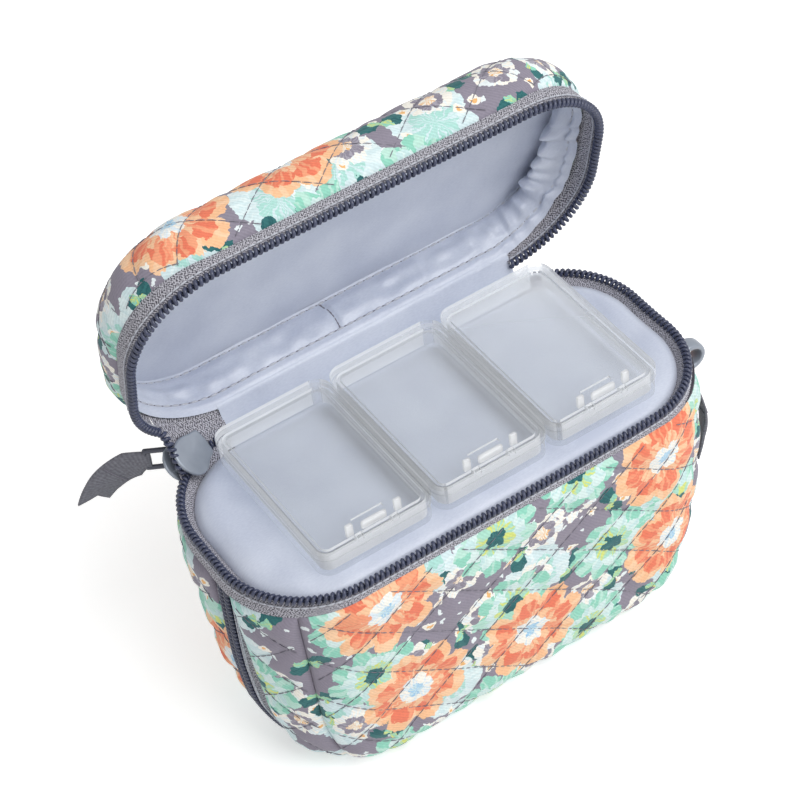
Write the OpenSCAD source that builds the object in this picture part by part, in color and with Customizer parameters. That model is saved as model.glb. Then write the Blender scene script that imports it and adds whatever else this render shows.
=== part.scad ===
// Travel pill organizer: a quilted case with a zipped lid over a padded platform that
// carries three clear pill boxes, and a lower compartment that opens on a second zip.
// Millimetres. X runs along the case, -Y is its front and +Z is up. The origin is the
// middle of the base, on the surface that the case stands on.

/* [Case] */
// Width of the case along the line of the main zip
case_w = 140; // [124:1:170]
// Depth of the case along the line of the main zip
case_d = 65.5; // [60:0.5:80]
// Corner radius of the main zip's line
corner_r = 26; // [22:0.5:29]
// Height of the lower coil of the main zip above the base
rim_h = 79; // [66:1:110]
// How far the quilted wall stands outside the zip at the rim
rim_flare = 2.4; // [2.2:0.1:4]
// How much the wall draws in from the rim to the base, on each side
taper = 6.7; // [3:0.1:8]
// Thickness of the quilted walls
wall = 2; // [1.4:0.1:2.1]
// Rounding between the walls and the base
base_round = 12; // [7:0.5:14]
// How much further the two ends draw in at the base
end_tuck = 7; // [2:0.5:9]
// Height at which the ends start to draw in
tuck_h = 34; // [22:1:40]
// Zip tape that shows above the front and back walls
tape_show = 3.2; // [2.6:0.1:4]
// Zip tape that shows, beyond that, above the two ends
tape_dip = 3.3; // [1:0.1:4]
// Direction of the sewn corner seams, measured from the ends
seam_turn = 50; // [35:1:60]

/* [Lid] */
// Depth of the lid from its coil to the crown
lid_depth = 23.3; // [20:0.1:34]
// How far the lid's wall stands outside the zip
lid_flare = 0.6; // [0.2:0.1:1.2]
// Rounding between the lid's wall and its crown
lid_round = 12; // [8:0.5:13]
// Rise of the padded crown at its middle
lid_crown = 1.6; // [0.4:0.1:3]
// Padding inside the crown
lid_pad = 5.6; // [3:0.1:7]
// Angle at which the lid stands open
lid_open = 75; // [60:1:90]
// How far the fabric hinge lies behind the zip's line
hinge_back = 1.55; // [1.2:0.05:2.5]

/* [Zips] */
// Thickness of one coil of the main zip
coil_d = 3; // [2.4:0.1:3.4]
// Thickness of the zip tapes
tape_t = 0.6; // [0.4:0.05:0.8]
// Distance of the lower zip's middle from the middle of the case
low_zip_y = -5.2; // [-6:0.1:-5]
// Half of the slot that the lower zip fills
low_zip_half = 5; // [4.8:0.1:5.4]
// Width of one coil of the lower zip
low_coil_w = 2.75; // [2.2:0.05:3]
// Height of the lower zip's coils
low_coil_t = 1.75; // [1.4:0.05:2]

/* [Platform] */
// Depth of the platform's top below the middle of the coil
platform_drop = 0.6; // [0:0.1:1.5]
// Thickness of the padded platform lining
platform_pad = 3.5; // [3:0.1:5]
// Thickness of the stiff board under the lining
board_t = 1.4; // [1:0.1:2.4]

/* [Pill boxes] */
// Room between the zip's line and the row of boxes, at each end
row_room_x = 18.15; // [16:0.05:24]
// Room between the zip's line and the row of boxes, behind it
row_room_back = 4.35; // [4:0.05:8]
// Room between the zip's line and the row of boxes, in front of it
row_room_front = 7.15; // [4:0.05:12]
// Gap between two boxes
box_gap = 0.4; // [0.3:0.1:2]
// Height of a closed box
box_h = 8.4; // [7.6:0.1:10]
// Corner radius of a box
box_r = 4.5; // [3:0.1:6]
// Thickness of a box's walls
box_wall = 1; // [0.8:0.1:1.4]
// Thickness of a box's lid
box_lid_t = 1.2; // [1:0.1:1.6]
// Distance between the two hinge posts of a box
post_span = 10.4; // [8:0.2:16]
// Radius of a box's hinge pins
pin_r = 0.5; // [0.4:0.05:0.6]

/* [Sliders and pulls] */
// Length of a slider
slider_l = 11; // [9:0.5:13]
// Thickness of a slider's plates
plate_t = 1; // [0.8:0.1:1.2]
// Half of the main slider's height across both coils
slider_half = 5.2; // [4.8:0.1:6]
// Direction, seen from above, in which the parked main slider faces
slider_at = 122; // [118:1:130]
// Depth of the parked lower slider below the main zip
low_slider_drop = 17; // [15:1:23]
// Thickness of the wire rings on the sliders
ring_wire = 1.4; // [1.2:0.1:1.6]
// Length of a wire ring
ring_l = 8; // [6:0.5:10]
// Width of a fabric pull
pull_w = 9.5; // [8:0.5:12]
// Length of the main zip's fabric pull
main_pull_l = 22; // [16:1:28]
// Length of the lower zip's fabric pull
low_pull_l = 30; // [20:1:36]
// Thickness of a fabric pull
pull_t = 1.6; // [1.2:0.1:2]
// Swing of the main pull from straight out towards the front
pull_swing = 27; // [0:1:45]

/* [Hidden] */
$fn = 48;

// Clearances
seam_gap = 0.2;
soft_gap = 0.3;
slide_gap = 0.4;
pin_gap = 0.08;
rest_gap = 0.1;

// Steps along the curves of the soft panels
corner_steps = 8;
round_steps = 5;
wall_steps = 5;
dome_steps = 4;
coil_sides = 8;

// Centres of the plan's corner arcs
core_x = case_w / 2 - corner_r;
core_y = case_d / 2 - corner_r;
base_flat = 3;
base_r = min(base_round, corner_r + rim_flare - taper - base_flat);

// Planes of the two closed coils, and the lid's hinge line
coil_r = coil_d / 2;
coil_rise = coil_d + slide_gap;
lid_z = rim_h + coil_rise;
hinge_y = case_d / 2 + hinge_back;
hinge_z = lid_z;
zip_mid = rim_h + coil_rise / 2;
lid_inside = lid_z + lid_depth - lid_pad;
lid_in_r = 2;
ceiling_z = lid_inside - soft_gap - tape_t;

// Direction in which the main zip starts, at its hinge end
zip_start = 100;

// Slot of the lower zip
slot_front = low_zip_y - low_zip_half;
slot_back = low_zip_y + low_zip_half;
low_coil_out = 0.25;
low_coil_in = low_coil_out + low_coil_t;
low_tape_in = low_coil_in + tape_t;
low_zip_top = rim_h - tape_show - tape_dip - soft_gap;
slot_lap = 1;
slot_turn = asin((slot_lap - slot_front - core_y) / (corner_r + rim_flare - taper - base_r));
low_slider_z = rim_h - low_slider_drop;
front_coil_top = low_slider_z - slider_l / 2 - slide_gap;

// Platform
platform_z = rim_h - platform_drop;
board_top = platform_z - platform_pad;
plate_out = coil_r + slide_gap;
pad_out = -(plate_out + plate_t + slide_gap);
board_out = rim_flare - taper * (1 - (board_top - board_t) / rim_h) - wall - soft_gap;
lining_top = board_top - board_t - soft_gap;
lining_in = wall + soft_gap;
seam_angle = seam_gap / corner_r * 180 / PI;

// Pill boxes
row_w = case_w - 2 * row_room_x;
box_w = (row_w - 2 * box_gap) / 3;
box_d = case_d - row_room_front - row_room_back;
row_y = (row_room_front - row_room_back) / 2;
tray_h = box_h - box_lid_t - rest_gap;
tray_floor = 1;
rim_band_h = 1.6;
rim_band_out = 0.4;
lip_h = 0.8;
lip_gap = 0.25;
post_w = 1.6;
post_d = 1.6;
pin_rise = 0.9;
pin_z = tray_h + pin_rise;
pin_y = -box_d / 2 + post_d / 2;
barrel_r = 0.8;
grip_w = 9;
grip_d = 1;
grip_h = 0.7;
grip_in = 5;

// Sliders
slot_in = tape_t / 2 + 2 * slide_gap;
slot_out = plate_out - slide_gap;
flange_h = 0.9;
crown_half = 1.3;
crown_room = 2.4;
crown_t = 1;
crown_inset = 2;
crown_l = slider_l - 2 * crown_inset;
leg_l = 1.4;
slider_turn = slider_l / corner_r * 180 / PI;
post_turn = 5;
post_inset = 1;
wire_r = ring_wire / 2;
pivot_out = plate_out + plate_t + crown_room / 2;
ring_side = 0.6;
ring_half = crown_half + slide_gap + wire_r + ring_side;
neck_l = 5;
neck_w = 2 * (ring_half - wire_r - slide_gap);
neck_lap = 1;
shoulder_l = 2;
notch = 3;
lid_zip_turn = 4;
lid_zip_start = slider_at + slider_turn / 2 + lid_zip_turn;

// Lower slider: it runs on the right end, which leans by this angle
end_lean = atan(taper / rim_h);
low_plate_in = low_coil_out - slide_gap;
low_flange_at = low_coil_w + slide_gap;
low_half = low_flange_at + plate_t;
low_pivot = crown_room / 2 + plate_t - low_plate_in;

// Distance of the quilted wall outside the zip's line, at a height
function flare_at(z) = rim_flare - taper * (1 - z / rim_h);

// How far the ends are tucked in, at a height
function tuck_at(z) = end_tuck * pow(max(0, 1 - z / tuck_h), 2);

// A station is a place on the plan's rounded outline: its arc's centre, as a share of the
// core rectangle, and the direction that it faces. A cut station lies on a plane of one Y.
function turn(tx, ty, from, to, steps = corner_steps) =
    [for (i = [0 : steps]) [tx, ty, from + (to - from) * i / steps, undef]];
function cut(side, y) = [side, 0, side > 0 ? 0 : 180, y];

// The point of a station at a distance outside the zip's line
function at(s, out, z) =
    let (
        r = corner_r + out,
        x = core_x - tuck_at(z),
        dy = is_undef(s[3]) ? 0 : max(0, abs(s[3]) - core_y)
    )
    is_undef(s[3])
        ? [s[0] * x + r * cos(s[2]), s[1] * core_y + r * sin(s[2]), z]
        : [s[0] * (x + sqrt(r * r - dy * dy)), s[3], z];

// The height of the quilted wall's sewn edge, lower at the ends
function wall_top(s) = rim_h - tape_show - tape_dip * abs(cos(s[2]));
function lid_edge(s) = lid_z + tape_show + tape_dip * abs(cos(s[2]));

// The wall's profile at a depth under its outer face, from the base up: distance and height
function skin(depth, top) = concat(
    [for (k = [0 : round_steps])
        let (f = -90 + 90 * k / round_steps, r = base_r - depth, z = depth + r * (1 + sin(f)))
        [flare_at(z) - depth - r * (1 - cos(f)), z]],
    [for (k = [1 : wall_steps])
        let (z = base_r + (top - base_r) * k / wall_steps)
        [flare_at(z) - depth, z]]
);

function reverse(v) = [for (i = [len(v) - 1 : -1 : 0]) v[i]];

// Stations of the whole front or back half, between the two ends of the lower zip
function front_half(edge) = concat(
    [cut(-1, edge)], turn(-1, -1, 180 + slot_turn, 270), turn(1, -1, 270, 360 - slot_turn), [cut(1, edge)]
);
function back_half(edge) = concat(
    [cut(1, edge)], turn(1, 1, 0, 90), turn(-1, 1, 90, 180), [cut(-1, edge)]
);

// Stations of a main zip that starts at one hinge end and runs round the front to the other
function zip_run(start) = concat(
    turn(-1, 1, start, 180), turn(-1, -1, 180, 270), turn(1, -1, 270, 360), turn(1, 1, 360, 540 - zip_start)
);
whole_loop = concat(
    turn(-1, -1, 180, 270), turn(1, -1, 270, 360), turn(1, 1, 0, 90), turn(-1, 1, 90, 180)
);

// A place on the closed lid's back, from the hinge line, after the lid has opened: Y and Z
function lid_back(y, z) = [
    hinge_y + y * cos(lid_open) + z * sin(lid_open),
    hinge_z - y * sin(lid_open) + z * cos(lid_open)
];
hinge_top = tape_show - soft_gap - tape_t;
hinge_root = lid_back(lid_flare - wall / 2 - hinge_back, hinge_top);
lining_root = lid_back(lid_flare - wall - soft_gap - tape_t / 2 - hinge_back, hinge_top);

// Joins a row of closed outlines, each with as many points, into one solid
module loft(rows, ring = false) {
    n = len(rows);
    m = len(rows[0]);
    sides = [
        for (i = [0 : (ring ? n : n - 1) - 1], j = [0 : m - 1])
        let (k = (i + 1) % n, l = (j + 1) % m)
        each [[i * m + j, i * m + l, k * m + l], [i * m + j, k * m + l, k * m + j]]
    ];
    ends = ring ? [] : [
        for (j = [0 : m / 2 - 2])
        let (a = j, b = j + 1, c = m - 2 - j, d = m - 1 - j, last = (n - 1) * m)
        each [[d, c, b], [d, b, a], [last + a, last + b, last + c], [last + a, last + c, last + d]]
    ];
    polyhedron([for (r = rows) each r], concat(sides, ends), convexity = 8);
}

// A quilted or lined panel over some stations, between two depths
module panel(stations, outer, inner, top = undef) {
    loft([
        for (s = stations)
        let (h = is_undef(top) ? wall_top(s) : top)
        concat(
            [for (p = skin(outer, h)) at(s, p[0], p[1])],
            [for (p = reverse(skin(inner, h))) at(s, p[0], p[1])]
        )
    ]);
}

// One half of the base, inside the rounded edge of its walls
module base_half(stations) {
    out = flare_at(0) - base_r - seam_gap;
    linear_extrude(wall)
        polygon([for (s = stations) let (p = at(s, out, 0)) [p[0], p[1]]]);
}

// A strip of tape from a coil to the sewn edge of the body's wall or, turned over, the lid's
module tape_strip(stations, z, way) {
    head = z - way * coil_r;
    half = tape_t / 2;
    loft([
        for (s = stations)
        let (
            foot = way > 0 ? wall_top(s) + rest_gap : lid_edge(s) - rest_gap,
            out = (way > 0 ? flare_at(foot) : lid_flare) - wall / 2,
            outline = [
                at(s, out + half, foot), at(s, half, head),
                at(s, -half, head), at(s, out - half, foot)
            ]
        )
        way > 0 ? outline : reverse(outline)
    ]);
}

// The coil of one half of the main zip, as a plain rail
module coil_rail(stations, z) {
    loft([
        for (s = stations)
        [for (k = [0 : coil_sides - 1])
            let (t = 360 * k / coil_sides)
            at(s, coil_r * cos(t), z + coil_r * sin(t))]
    ]);
}

// Moves a lid piece from its closed place to where the lid stands open
module opened() {
    translate([0, hinge_y, hinge_z])
        rotate([-lid_open, 0, 0])
            translate([0, -hinge_y, -hinge_z])
                children();
}

// The flat outline of the zip's line, drawn in or out
module plan(out) {
    r = corner_r + out;
    square([2 * core_x, 2 * (core_y + r)], center = true);
    square([2 * (core_x + r), 2 * core_y], center = true);
    for (sx = [-1, 1], sy = [-1, 1])
        translate([sx * core_x, sy * core_y]) circle(r);
}

// A strip of the lower zip: down the left end, across the base and up the right end
module low_zip_strip(outer, inner, y0, y1, right_top) {
    a = skin(outer, low_zip_top);
    b = skin(inner, low_zip_top);
    c = skin(outer, right_top);
    d = skin(inner, right_top);
    end = cut(1, 0);
    translate([0, y1, 0])
        rotate([90, 0, 0])
            linear_extrude(y1 - y0)
                polygon(concat(
                    [for (p = reverse(a)) let (q = at(end, p[0], p[1])) [-q[0], q[2]]],
                    [for (p = c) let (q = at(end, p[0], p[1])) [q[0], q[2]]],
                    [for (p = reverse(d)) let (q = at(end, p[0], p[1])) [q[0], q[2]]],
                    [for (p = b) let (q = at(end, p[0], p[1])) [-q[0], q[2]]]
                ));
}

module back_panel() {
    color("#b7a9bd")
        panel(concat(turn(1, 1, seam_turn, 90), turn(-1, 1, 90, 180 - seam_turn)), 0, wall);
}

module back_gusset_left() {
    corner = turn(-1, 1, 180 - seam_turn + seam_angle, 180);
    color("#a9bfb6") panel(concat(corner, [cut(-1, slot_back)]), 0, wall);
}

module back_gusset_right() {
    corner = turn(1, 1, 0, seam_turn - seam_angle);
    color("#a9bfb6") panel(concat([cut(1, slot_back)], corner), 0, wall);
}

module back_base() {
    color("#9c93a6") base_half(back_half(slot_back));
}

module back_lining() {
    color("#c3cad9")
        panel(back_half(slot_back + soft_gap), lining_in, lining_in + tape_t, lining_top);
}

module front_panel() {
    color("#c9a79a")
        panel(concat(turn(-1, -1, 180 + seam_turn, 270), turn(1, -1, 270, 360 - seam_turn)), 0, wall);
}

module front_gusset_left() {
    corner = turn(-1, -1, 180 + slot_turn, 180 + seam_turn - seam_angle);
    color("#a9bfb6") panel(concat([cut(-1, slot_front)], corner), 0, wall);
}

module front_gusset_right() {
    corner = turn(1, -1, 360 - seam_turn + seam_angle, 360 - slot_turn);
    color("#a9bfb6") panel(concat(corner, [cut(1, slot_front)]), 0, wall);
}

module front_base() {
    color("#9c93a6") base_half(front_half(slot_front));
}

module front_lining() {
    color("#c3cad9")
        panel(front_half(slot_front - soft_gap), lining_in, lining_in + tape_t, lining_top);
}

module rim_tape() {
    color("#77757f") tape_strip(zip_run(zip_start), rim_h, 1);
}

module rim_coil() {
    color("#3c4258") coil_rail(zip_run(zip_start), rim_h);
}

module divider_board() {
    color("#e4e4e4") translate([0, 0, board_top - board_t]) linear_extrude(board_t) plan(board_out);
}

module divider_lining() {
    color("#c6cddd") translate([0, 0, board_top]) linear_extrude(platform_pad) plan(pad_out);
}

// A strip of cloth across the back, from a place on the case to one on the open lid
module hinge_fabric(y, z, root, t) {
    half = [t / 2, 0];
    translate([-core_x, 0, 0])
        rotate([90, 0, 90])
            linear_extrude(2 * core_x)
                polygon([[y, z] - half, [y, z] + half, root + half, root - half]);
}

module hinge_strip() {
    z = rim_h - tape_show + soft_gap;
    color("#8f8796") hinge_fabric(case_d / 2 + flare_at(z) - wall / 2, z, hinge_root, 2 * tape_t);
}

module hinge_lining() {
    y = case_d / 2 + pad_out + soft_gap + tape_t / 2;
    color("#c6cddd") hinge_fabric(y, board_top + soft_gap, lining_root, tape_t);
}

module low_zip_tape_back() {
    color("#77757f")
        low_zip_strip(low_coil_in, low_tape_in, low_zip_y + slide_gap, slot_back - seam_gap, low_zip_top);
}

module low_zip_coil_back() {
    color("#3c4258")
        low_zip_strip(low_coil_out, low_coil_in, low_zip_y + seam_gap, low_zip_y + low_coil_w, low_zip_top);
}

module low_zip_tape_front() {
    color("#77757f")
        low_zip_strip(low_coil_in, low_tape_in, slot_front + seam_gap, low_zip_y - slide_gap, front_coil_top);
}

module low_zip_coil_front() {
    edge = low_zip_y - low_coil_w;
    color("#3c4258")
        low_zip_strip(low_coil_out, low_coil_in, edge, low_zip_y - seam_gap, front_coil_top);
}

// The lid's quilted cup: its crown, its rounded wall, its sewn edge and its padded inside
module lid_shell() {
    crown = lid_z + lid_depth;
    outer = [for (k = [0 : round_steps]) let (f = 90 - 90 * k / round_steps)
        [lid_flare - lid_round * (1 - cos(f)), crown - lid_round * (1 - sin(f))]];
    inner = [for (k = [0 : round_steps]) let (f = 90 * k / round_steps)
        [lid_flare - wall - lid_in_r * (1 - cos(f)), lid_inside - lid_in_r * (1 - sin(f))]];
    dome = [for (k = [1 : dome_steps - 1]) let (part = k / dome_steps)
        [(corner_r + lid_flare - lid_round) * part - corner_r, crown + lid_crown * (1 - pow(part, 2))]];
    color("#b7a9bd")
        opened()
            loft(concat(
                [for (p = concat(dome, outer)) [for (s = whole_loop) at(s, p[0], p[1])]],
                [[for (s = whole_loop) at(s, lid_flare, lid_edge(s))]],
                [[for (s = whole_loop) at(s, lid_flare - wall, lid_edge(s))]],
                [for (p = inner) [for (s = whole_loop) at(s, p[0], p[1])]]
            ));
}

module lid_ceiling() {
    color("#c6cddd")
        opened()
            translate([0, 0, ceiling_z]) linear_extrude(tape_t) plan(lid_flare - wall - lid_in_r);
}

module lid_wall_lining() {
    out = lid_flare - wall - soft_gap;
    top = lid_inside - lid_in_r;
    color("#c6cddd")
        opened()
            loft([
                for (s = whole_loop)
                [
                    at(s, out, lid_edge(s)), at(s, out, top),
                    at(s, out - tape_t, top), at(s, out - tape_t, lid_edge(s))
                ]
            ], ring = true);
}

module lid_tape() {
    color("#77757f") opened() tape_strip(zip_run(lid_zip_start), lid_z, -1);
}

module lid_coil() {
    color("#3c4258") opened() coil_rail(zip_run(lid_zip_start), lid_z);
}

// An arc of the main slider round the corner of the zip, from its profile: distance and height
module slider_arc(from, by, profile) {
    translate([-core_x, core_y, zip_mid])
        rotate([0, 0, slider_at + from])
            rotate_extrude(angle = by)
                polygon([for (p = profile) [corner_r + p[0], p[1]]]);
}

// One channel of the main slider: a plate with two flanges that reach towards the tapes
module slider_side(way, lip) {
    far = way * (plate_out + plate_t);
    near = way * plate_out;
    slider_arc(-slider_turn / 2, slider_turn, [
        [lip, -slider_half], [far, -slider_half], [far, slider_half], [lip, slider_half],
        [lip, slider_half - flange_h], [near, slider_half - flange_h],
        [near, flange_h - slider_half], [lip, flange_h - slider_half]
    ]);
}

// The bridge on a slider's plate, which holds the ring: +X points out of the plate
module slider_crown(foot, l) {
    head = crown_room + crown_t;
    translate([0, 0, -crown_half])
        linear_extrude(2 * crown_half)
            polygon([
                [-foot, -l / 2], [head, -l / 2], [head, l / 2], [-foot, l / 2],
                [-foot, l / 2 - leg_l], [crown_room, l / 2 - leg_l],
                [crown_room, leg_l - l / 2], [-foot, leg_l - l / 2]
            ]);
}

module main_slider() {
    deep = plate_out + plate_t / 2;
    low = coil_r + slide_gap - coil_rise / 2;
    high = slider_half - flange_h - rest_gap;
    color("#8b8d94") {
        slider_side(1, slot_out);
        slider_side(-1, -slot_in);
        slider_arc(slider_turn / 2 - post_turn - post_inset, post_turn,
            [[-deep, low], [deep, low], [deep, high], [-deep, high]]);
        translate([-core_x, core_y, zip_mid])
            rotate([0, 0, slider_at])
                translate([corner_r + plate_out + plate_t, 0, 0])
                    slider_crown(plate_t / 2, crown_l);
    }
}

// A wire ring that turns on an upright bar at the origin and points along +X
module wire_ring() {
    for (x = [0, ring_l]) translate([x, 0, -ring_half]) cylinder(r = wire_r, h = 2 * ring_half);
    for (z = [-ring_half, ring_half]) {
        translate([0, 0, z]) rotate([0, 90, 0]) cylinder(r = wire_r, h = ring_l);
        for (x = [0, ring_l]) translate([x, 0, z]) sphere(wire_r);
    }
}

// A folded fabric pull on the far bar of its ring, with a notched end
module pull_tab(l) {
    body = ring_l + neck_l;
    bore = wire_r + rest_gap;
    difference() {
        union() {
            translate([ring_l - bore - pull_t / 2, -bore - pull_t / 2, -neck_w / 2])
                cube([neck_l + bore + pull_t / 2, 2 * bore + pull_t, neck_w]);
            translate([0, pull_t / 2, 0])
                rotate([90, 0, 0])
                    linear_extrude(pull_t)
                        polygon([
                            [body - neck_lap, -neck_w / 2], [body + shoulder_l, -pull_w / 2],
                            [ring_l + l, -pull_w / 2], [ring_l + l - notch, 0], [ring_l + l, pull_w / 2],
                            [body + shoulder_l, pull_w / 2], [body - neck_lap, neck_w / 2]
                        ]);
        }
        translate([ring_l, 0, -pull_w]) cylinder(r = bore, h = 2 * pull_w);
    }
}

// The place of the main pull, on the slider's crown
module on_main_crown() {
    translate([-core_x, core_y, zip_mid])
        rotate([0, 0, slider_at])
            translate([corner_r + pivot_out, 0, 0])
                rotate([0, 0, pull_swing])
                    children();
}

module main_pull_ring() {
    color("#4a4a52") on_main_crown() wire_ring();
}

module main_pull_tab() {
    color("#6f6f77") on_main_crown() pull_tab(main_pull_l);
}

// The leaning face of the right end at a height: +X points out of it and +Z up along it
module on_right_end() {
    translate([at(cut(1, 0), flare_at(low_slider_z), low_slider_z)[0], low_zip_y, low_slider_z])
        rotate([0, end_lean, 0])
            children();
}

module low_slider() {
    flange_l = low_coil_in - slide_gap - low_plate_in;
    color("#8b8d94")
        on_right_end() {
            translate([-low_plate_in, -low_half, -slider_l / 2]) cube([plate_t, 2 * low_half, slider_l]);
            for (y = [-low_half, low_flange_at])
                translate([-low_plate_in - flange_l, y, -slider_l / 2])
                    cube([flange_l + plate_t / 2, plate_t, slider_l]);
            translate([plate_t - low_plate_in, 0, 0])
                rotate([90, 0, 0]) slider_crown(plate_t / 2, crown_l);
        }
}

// The place of the lower pull, which hangs straight down from its slider's crown
module on_low_crown() {
    translate([
        at(cut(1, 0), flare_at(low_slider_z), low_slider_z)[0] + low_pivot * cos(end_lean),
        low_zip_y,
        low_slider_z - low_pivot * sin(end_lean)
    ])
        rotate([0, 90, 90])
            children();
}

module low_pull_ring() {
    color("#4a4a52") on_low_crown() wire_ring();
}

module low_pull_tab() {
    color("#6f6f77") on_low_crown() pull_tab(low_pull_l);
}

// A rectangle with round corners
module rounded(w, d, r) {
    square([w - 2 * r, d], center = true);
    square([w, d - 2 * r], center = true);
    for (sx = [-1, 1], sy = [-1, 1])
        translate([sx * (w / 2 - r), sy * (d / 2 - r)]) circle(r);
}

// A clear tray, with its stiff rim and the two posts of its hinge
module box_tray() {
    w = box_w - 2 * rim_band_out;
    d = box_d - 2 * rim_band_out;
    r = box_r - rim_band_out;
    difference() {
        union() {
            linear_extrude(tray_h) rounded(w, d, r);
            translate([0, 0, tray_h - rim_band_h]) linear_extrude(rim_band_h) rounded(box_w, box_d, box_r);
            for (way = [-1, 1])
                translate([way * post_span / 2 - post_w / 2, -box_d / 2, tray_h - rim_band_h])
                    cube([post_w, post_d, pin_z + barrel_r + pin_gap - tray_h + rim_band_h]);
        }
        translate([0, 0, tray_floor])
            linear_extrude(box_h) rounded(w - 2 * box_wall, d - 2 * box_wall, r - box_wall);
        translate([-post_span, pin_y, pin_z])
            rotate([0, 90, 0]) cylinder(r = pin_r + pin_gap, h = 2 * post_span);
    }
}

// A clear lid: a flat plate with a lip that snaps into the tray, and a barrel on two pins
module box_lid() {
    inner_w = box_w - 2 * (rim_band_out + box_wall + lip_gap);
    inner_d = box_d - 2 * (rim_band_out + box_wall + lip_gap);
    inner_r = box_r - rim_band_out - box_wall - lip_gap;
    plate_z = tray_h + rest_gap;
    front = -box_d / 2;
    difference() {
        union() {
            translate([0, 0, plate_z]) linear_extrude(box_lid_t) rounded(box_w, box_d, box_r);
            translate([0, 0, tray_h - lip_h])
                linear_extrude(lip_h + rest_gap)
                    difference() {
                        rounded(inner_w, inner_d, inner_r);
                        rounded(inner_w - 2 * box_wall, inner_d - 2 * box_wall, inner_r - box_wall);
                    }
            translate([-grip_w / 2, front + grip_in, plate_z + box_lid_t])
                cube([grip_w, grip_d, grip_h]);
        }
        translate([-box_w / 2, front, tray_h - lip_h])
            cube([box_w, pin_y - front - seam_gap, box_h]);
        for (way = [-1, 1])
            translate([way * post_span / 2 - post_w / 2 - soft_gap, front, tray_h - lip_h])
                cube([post_w + 2 * soft_gap, post_d + soft_gap, box_h]);
    }
    translate([-(post_span - post_w) / 2 + soft_gap, pin_y, pin_z])
        rotate([0, 90, 0]) cylinder(r = barrel_r, h = post_span - post_w - 2 * soft_gap);
    translate([-(post_span + post_w) / 2 + soft_gap, pin_y, pin_z])
        rotate([0, 90, 0]) cylinder(r = pin_r, h = post_span + post_w - 2 * soft_gap);
}

// The place of a box in the row, counted from the left
module in_row(place) {
    translate([(place - 1) * (box_w + box_gap), row_y, platform_z])
        children();
}

module box_tray_left() {
    color("#dfe6f0", 0.5) in_row(0) box_tray();
}

module box_tray_middle() {
    color("#dfe6f0", 0.5) in_row(1) box_tray();
}

module box_tray_right() {
    color("#dfe6f0", 0.5) in_row(2) box_tray();
}

module box_lid_left() {
    color("#e8eef6", 0.4) in_row(0) box_lid();
}

module box_lid_middle() {
    color("#e8eef6", 0.4) in_row(1) box_lid();
}

module box_lid_right() {
    color("#e8eef6", 0.4) in_row(2) box_lid();
}

back_panel();
back_gusset_left();
back_gusset_right();
back_base();
back_lining();
front_panel();
front_gusset_left();
front_gusset_right();
front_base();
front_lining();
rim_tape();
rim_coil();
divider_board();
divider_lining();
hinge_strip();
hinge_lining();
low_zip_tape_back();
low_zip_coil_back();
low_zip_tape_front();
low_zip_coil_front();
lid_shell();
lid_ceiling();
lid_wall_lining();
lid_tape();
lid_coil();
main_slider();
main_pull_ring();
main_pull_tab();
low_slider();
low_pull_ring();
low_pull_tab();
box_tray_left();
box_tray_middle();
box_tray_right();
box_lid_left();
box_lid_middle();
box_lid_right();
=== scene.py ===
# Travel pill organizer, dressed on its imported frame. Sizes are in millimetres until a mesh is made.
import math

import bpy
import numpy as np
from mathutils import Matrix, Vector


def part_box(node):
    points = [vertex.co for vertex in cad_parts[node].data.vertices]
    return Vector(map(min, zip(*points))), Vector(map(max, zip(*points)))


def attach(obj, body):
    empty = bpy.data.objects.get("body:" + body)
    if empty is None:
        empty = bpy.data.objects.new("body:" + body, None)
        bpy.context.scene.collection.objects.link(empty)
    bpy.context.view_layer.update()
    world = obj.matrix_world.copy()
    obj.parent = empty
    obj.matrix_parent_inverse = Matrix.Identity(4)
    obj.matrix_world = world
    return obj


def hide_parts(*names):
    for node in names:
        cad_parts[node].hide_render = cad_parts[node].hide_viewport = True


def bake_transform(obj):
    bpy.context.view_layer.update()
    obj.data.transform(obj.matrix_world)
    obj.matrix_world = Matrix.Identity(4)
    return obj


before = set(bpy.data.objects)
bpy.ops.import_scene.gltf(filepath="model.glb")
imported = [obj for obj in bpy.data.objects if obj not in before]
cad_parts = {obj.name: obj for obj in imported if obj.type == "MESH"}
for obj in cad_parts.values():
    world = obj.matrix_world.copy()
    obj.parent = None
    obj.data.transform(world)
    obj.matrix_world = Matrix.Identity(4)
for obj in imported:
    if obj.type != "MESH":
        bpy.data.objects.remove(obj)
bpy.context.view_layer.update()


# Quilted walls. Printed cotton twill, thin wadding and a backing are sewn together along two
# sets of slanting lines, then cut into a front, a back and four end pieces. The pieces are
# seamed at the corners, leave a slot for the lower zip at each end and turn in under the base.
MM = 0.001
CORE_X, CORE_Y, CORNER_R, RIM_H = 44.0, 6.75, 26.0, 79.0
RIM_FLARE, TAPER, BASE_R = 2.4, 6.7, 12.0
END_TUCK, TUCK_H, LEAST_Z = 7.0, 34.0, 0.03
TAPE_SHOW, TAPE_DIP = 3.2, 3.3
SEAM_TURN, SEAM_GAP, SLOT_FRONT, SLOT_BACK = 50.0, 0.2, -10.2, -0.2
QUILT_SLANT, QUILT_STEP, QUILT_LINE, PUFF = math.radians(38), 13.5, 1.9, 1.0
QUILT_LINES, QUILT_REACH = 14, 170
SEAM_SINK, SEAM_W, SEAM_EASE, WALL_FOLD = 0.9, 1.0, 2.6, 1.7
DRAWN_IN, DRAWN_W, DRAWN_FROM, DRAWN_RISE = 3.2, 38.0, 42.0, 34.0
WALL_CRUMPLE, CRUMPLE_EASE = 0.16, 3.0
SIDE_CLEAR, FOOT_CLEAR, TOP_CLEAR = 0.9, 0.8, 0.6
WALL_ROWS, BEND_ROWS, RISE_ROWS = 62, 40, 60

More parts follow.
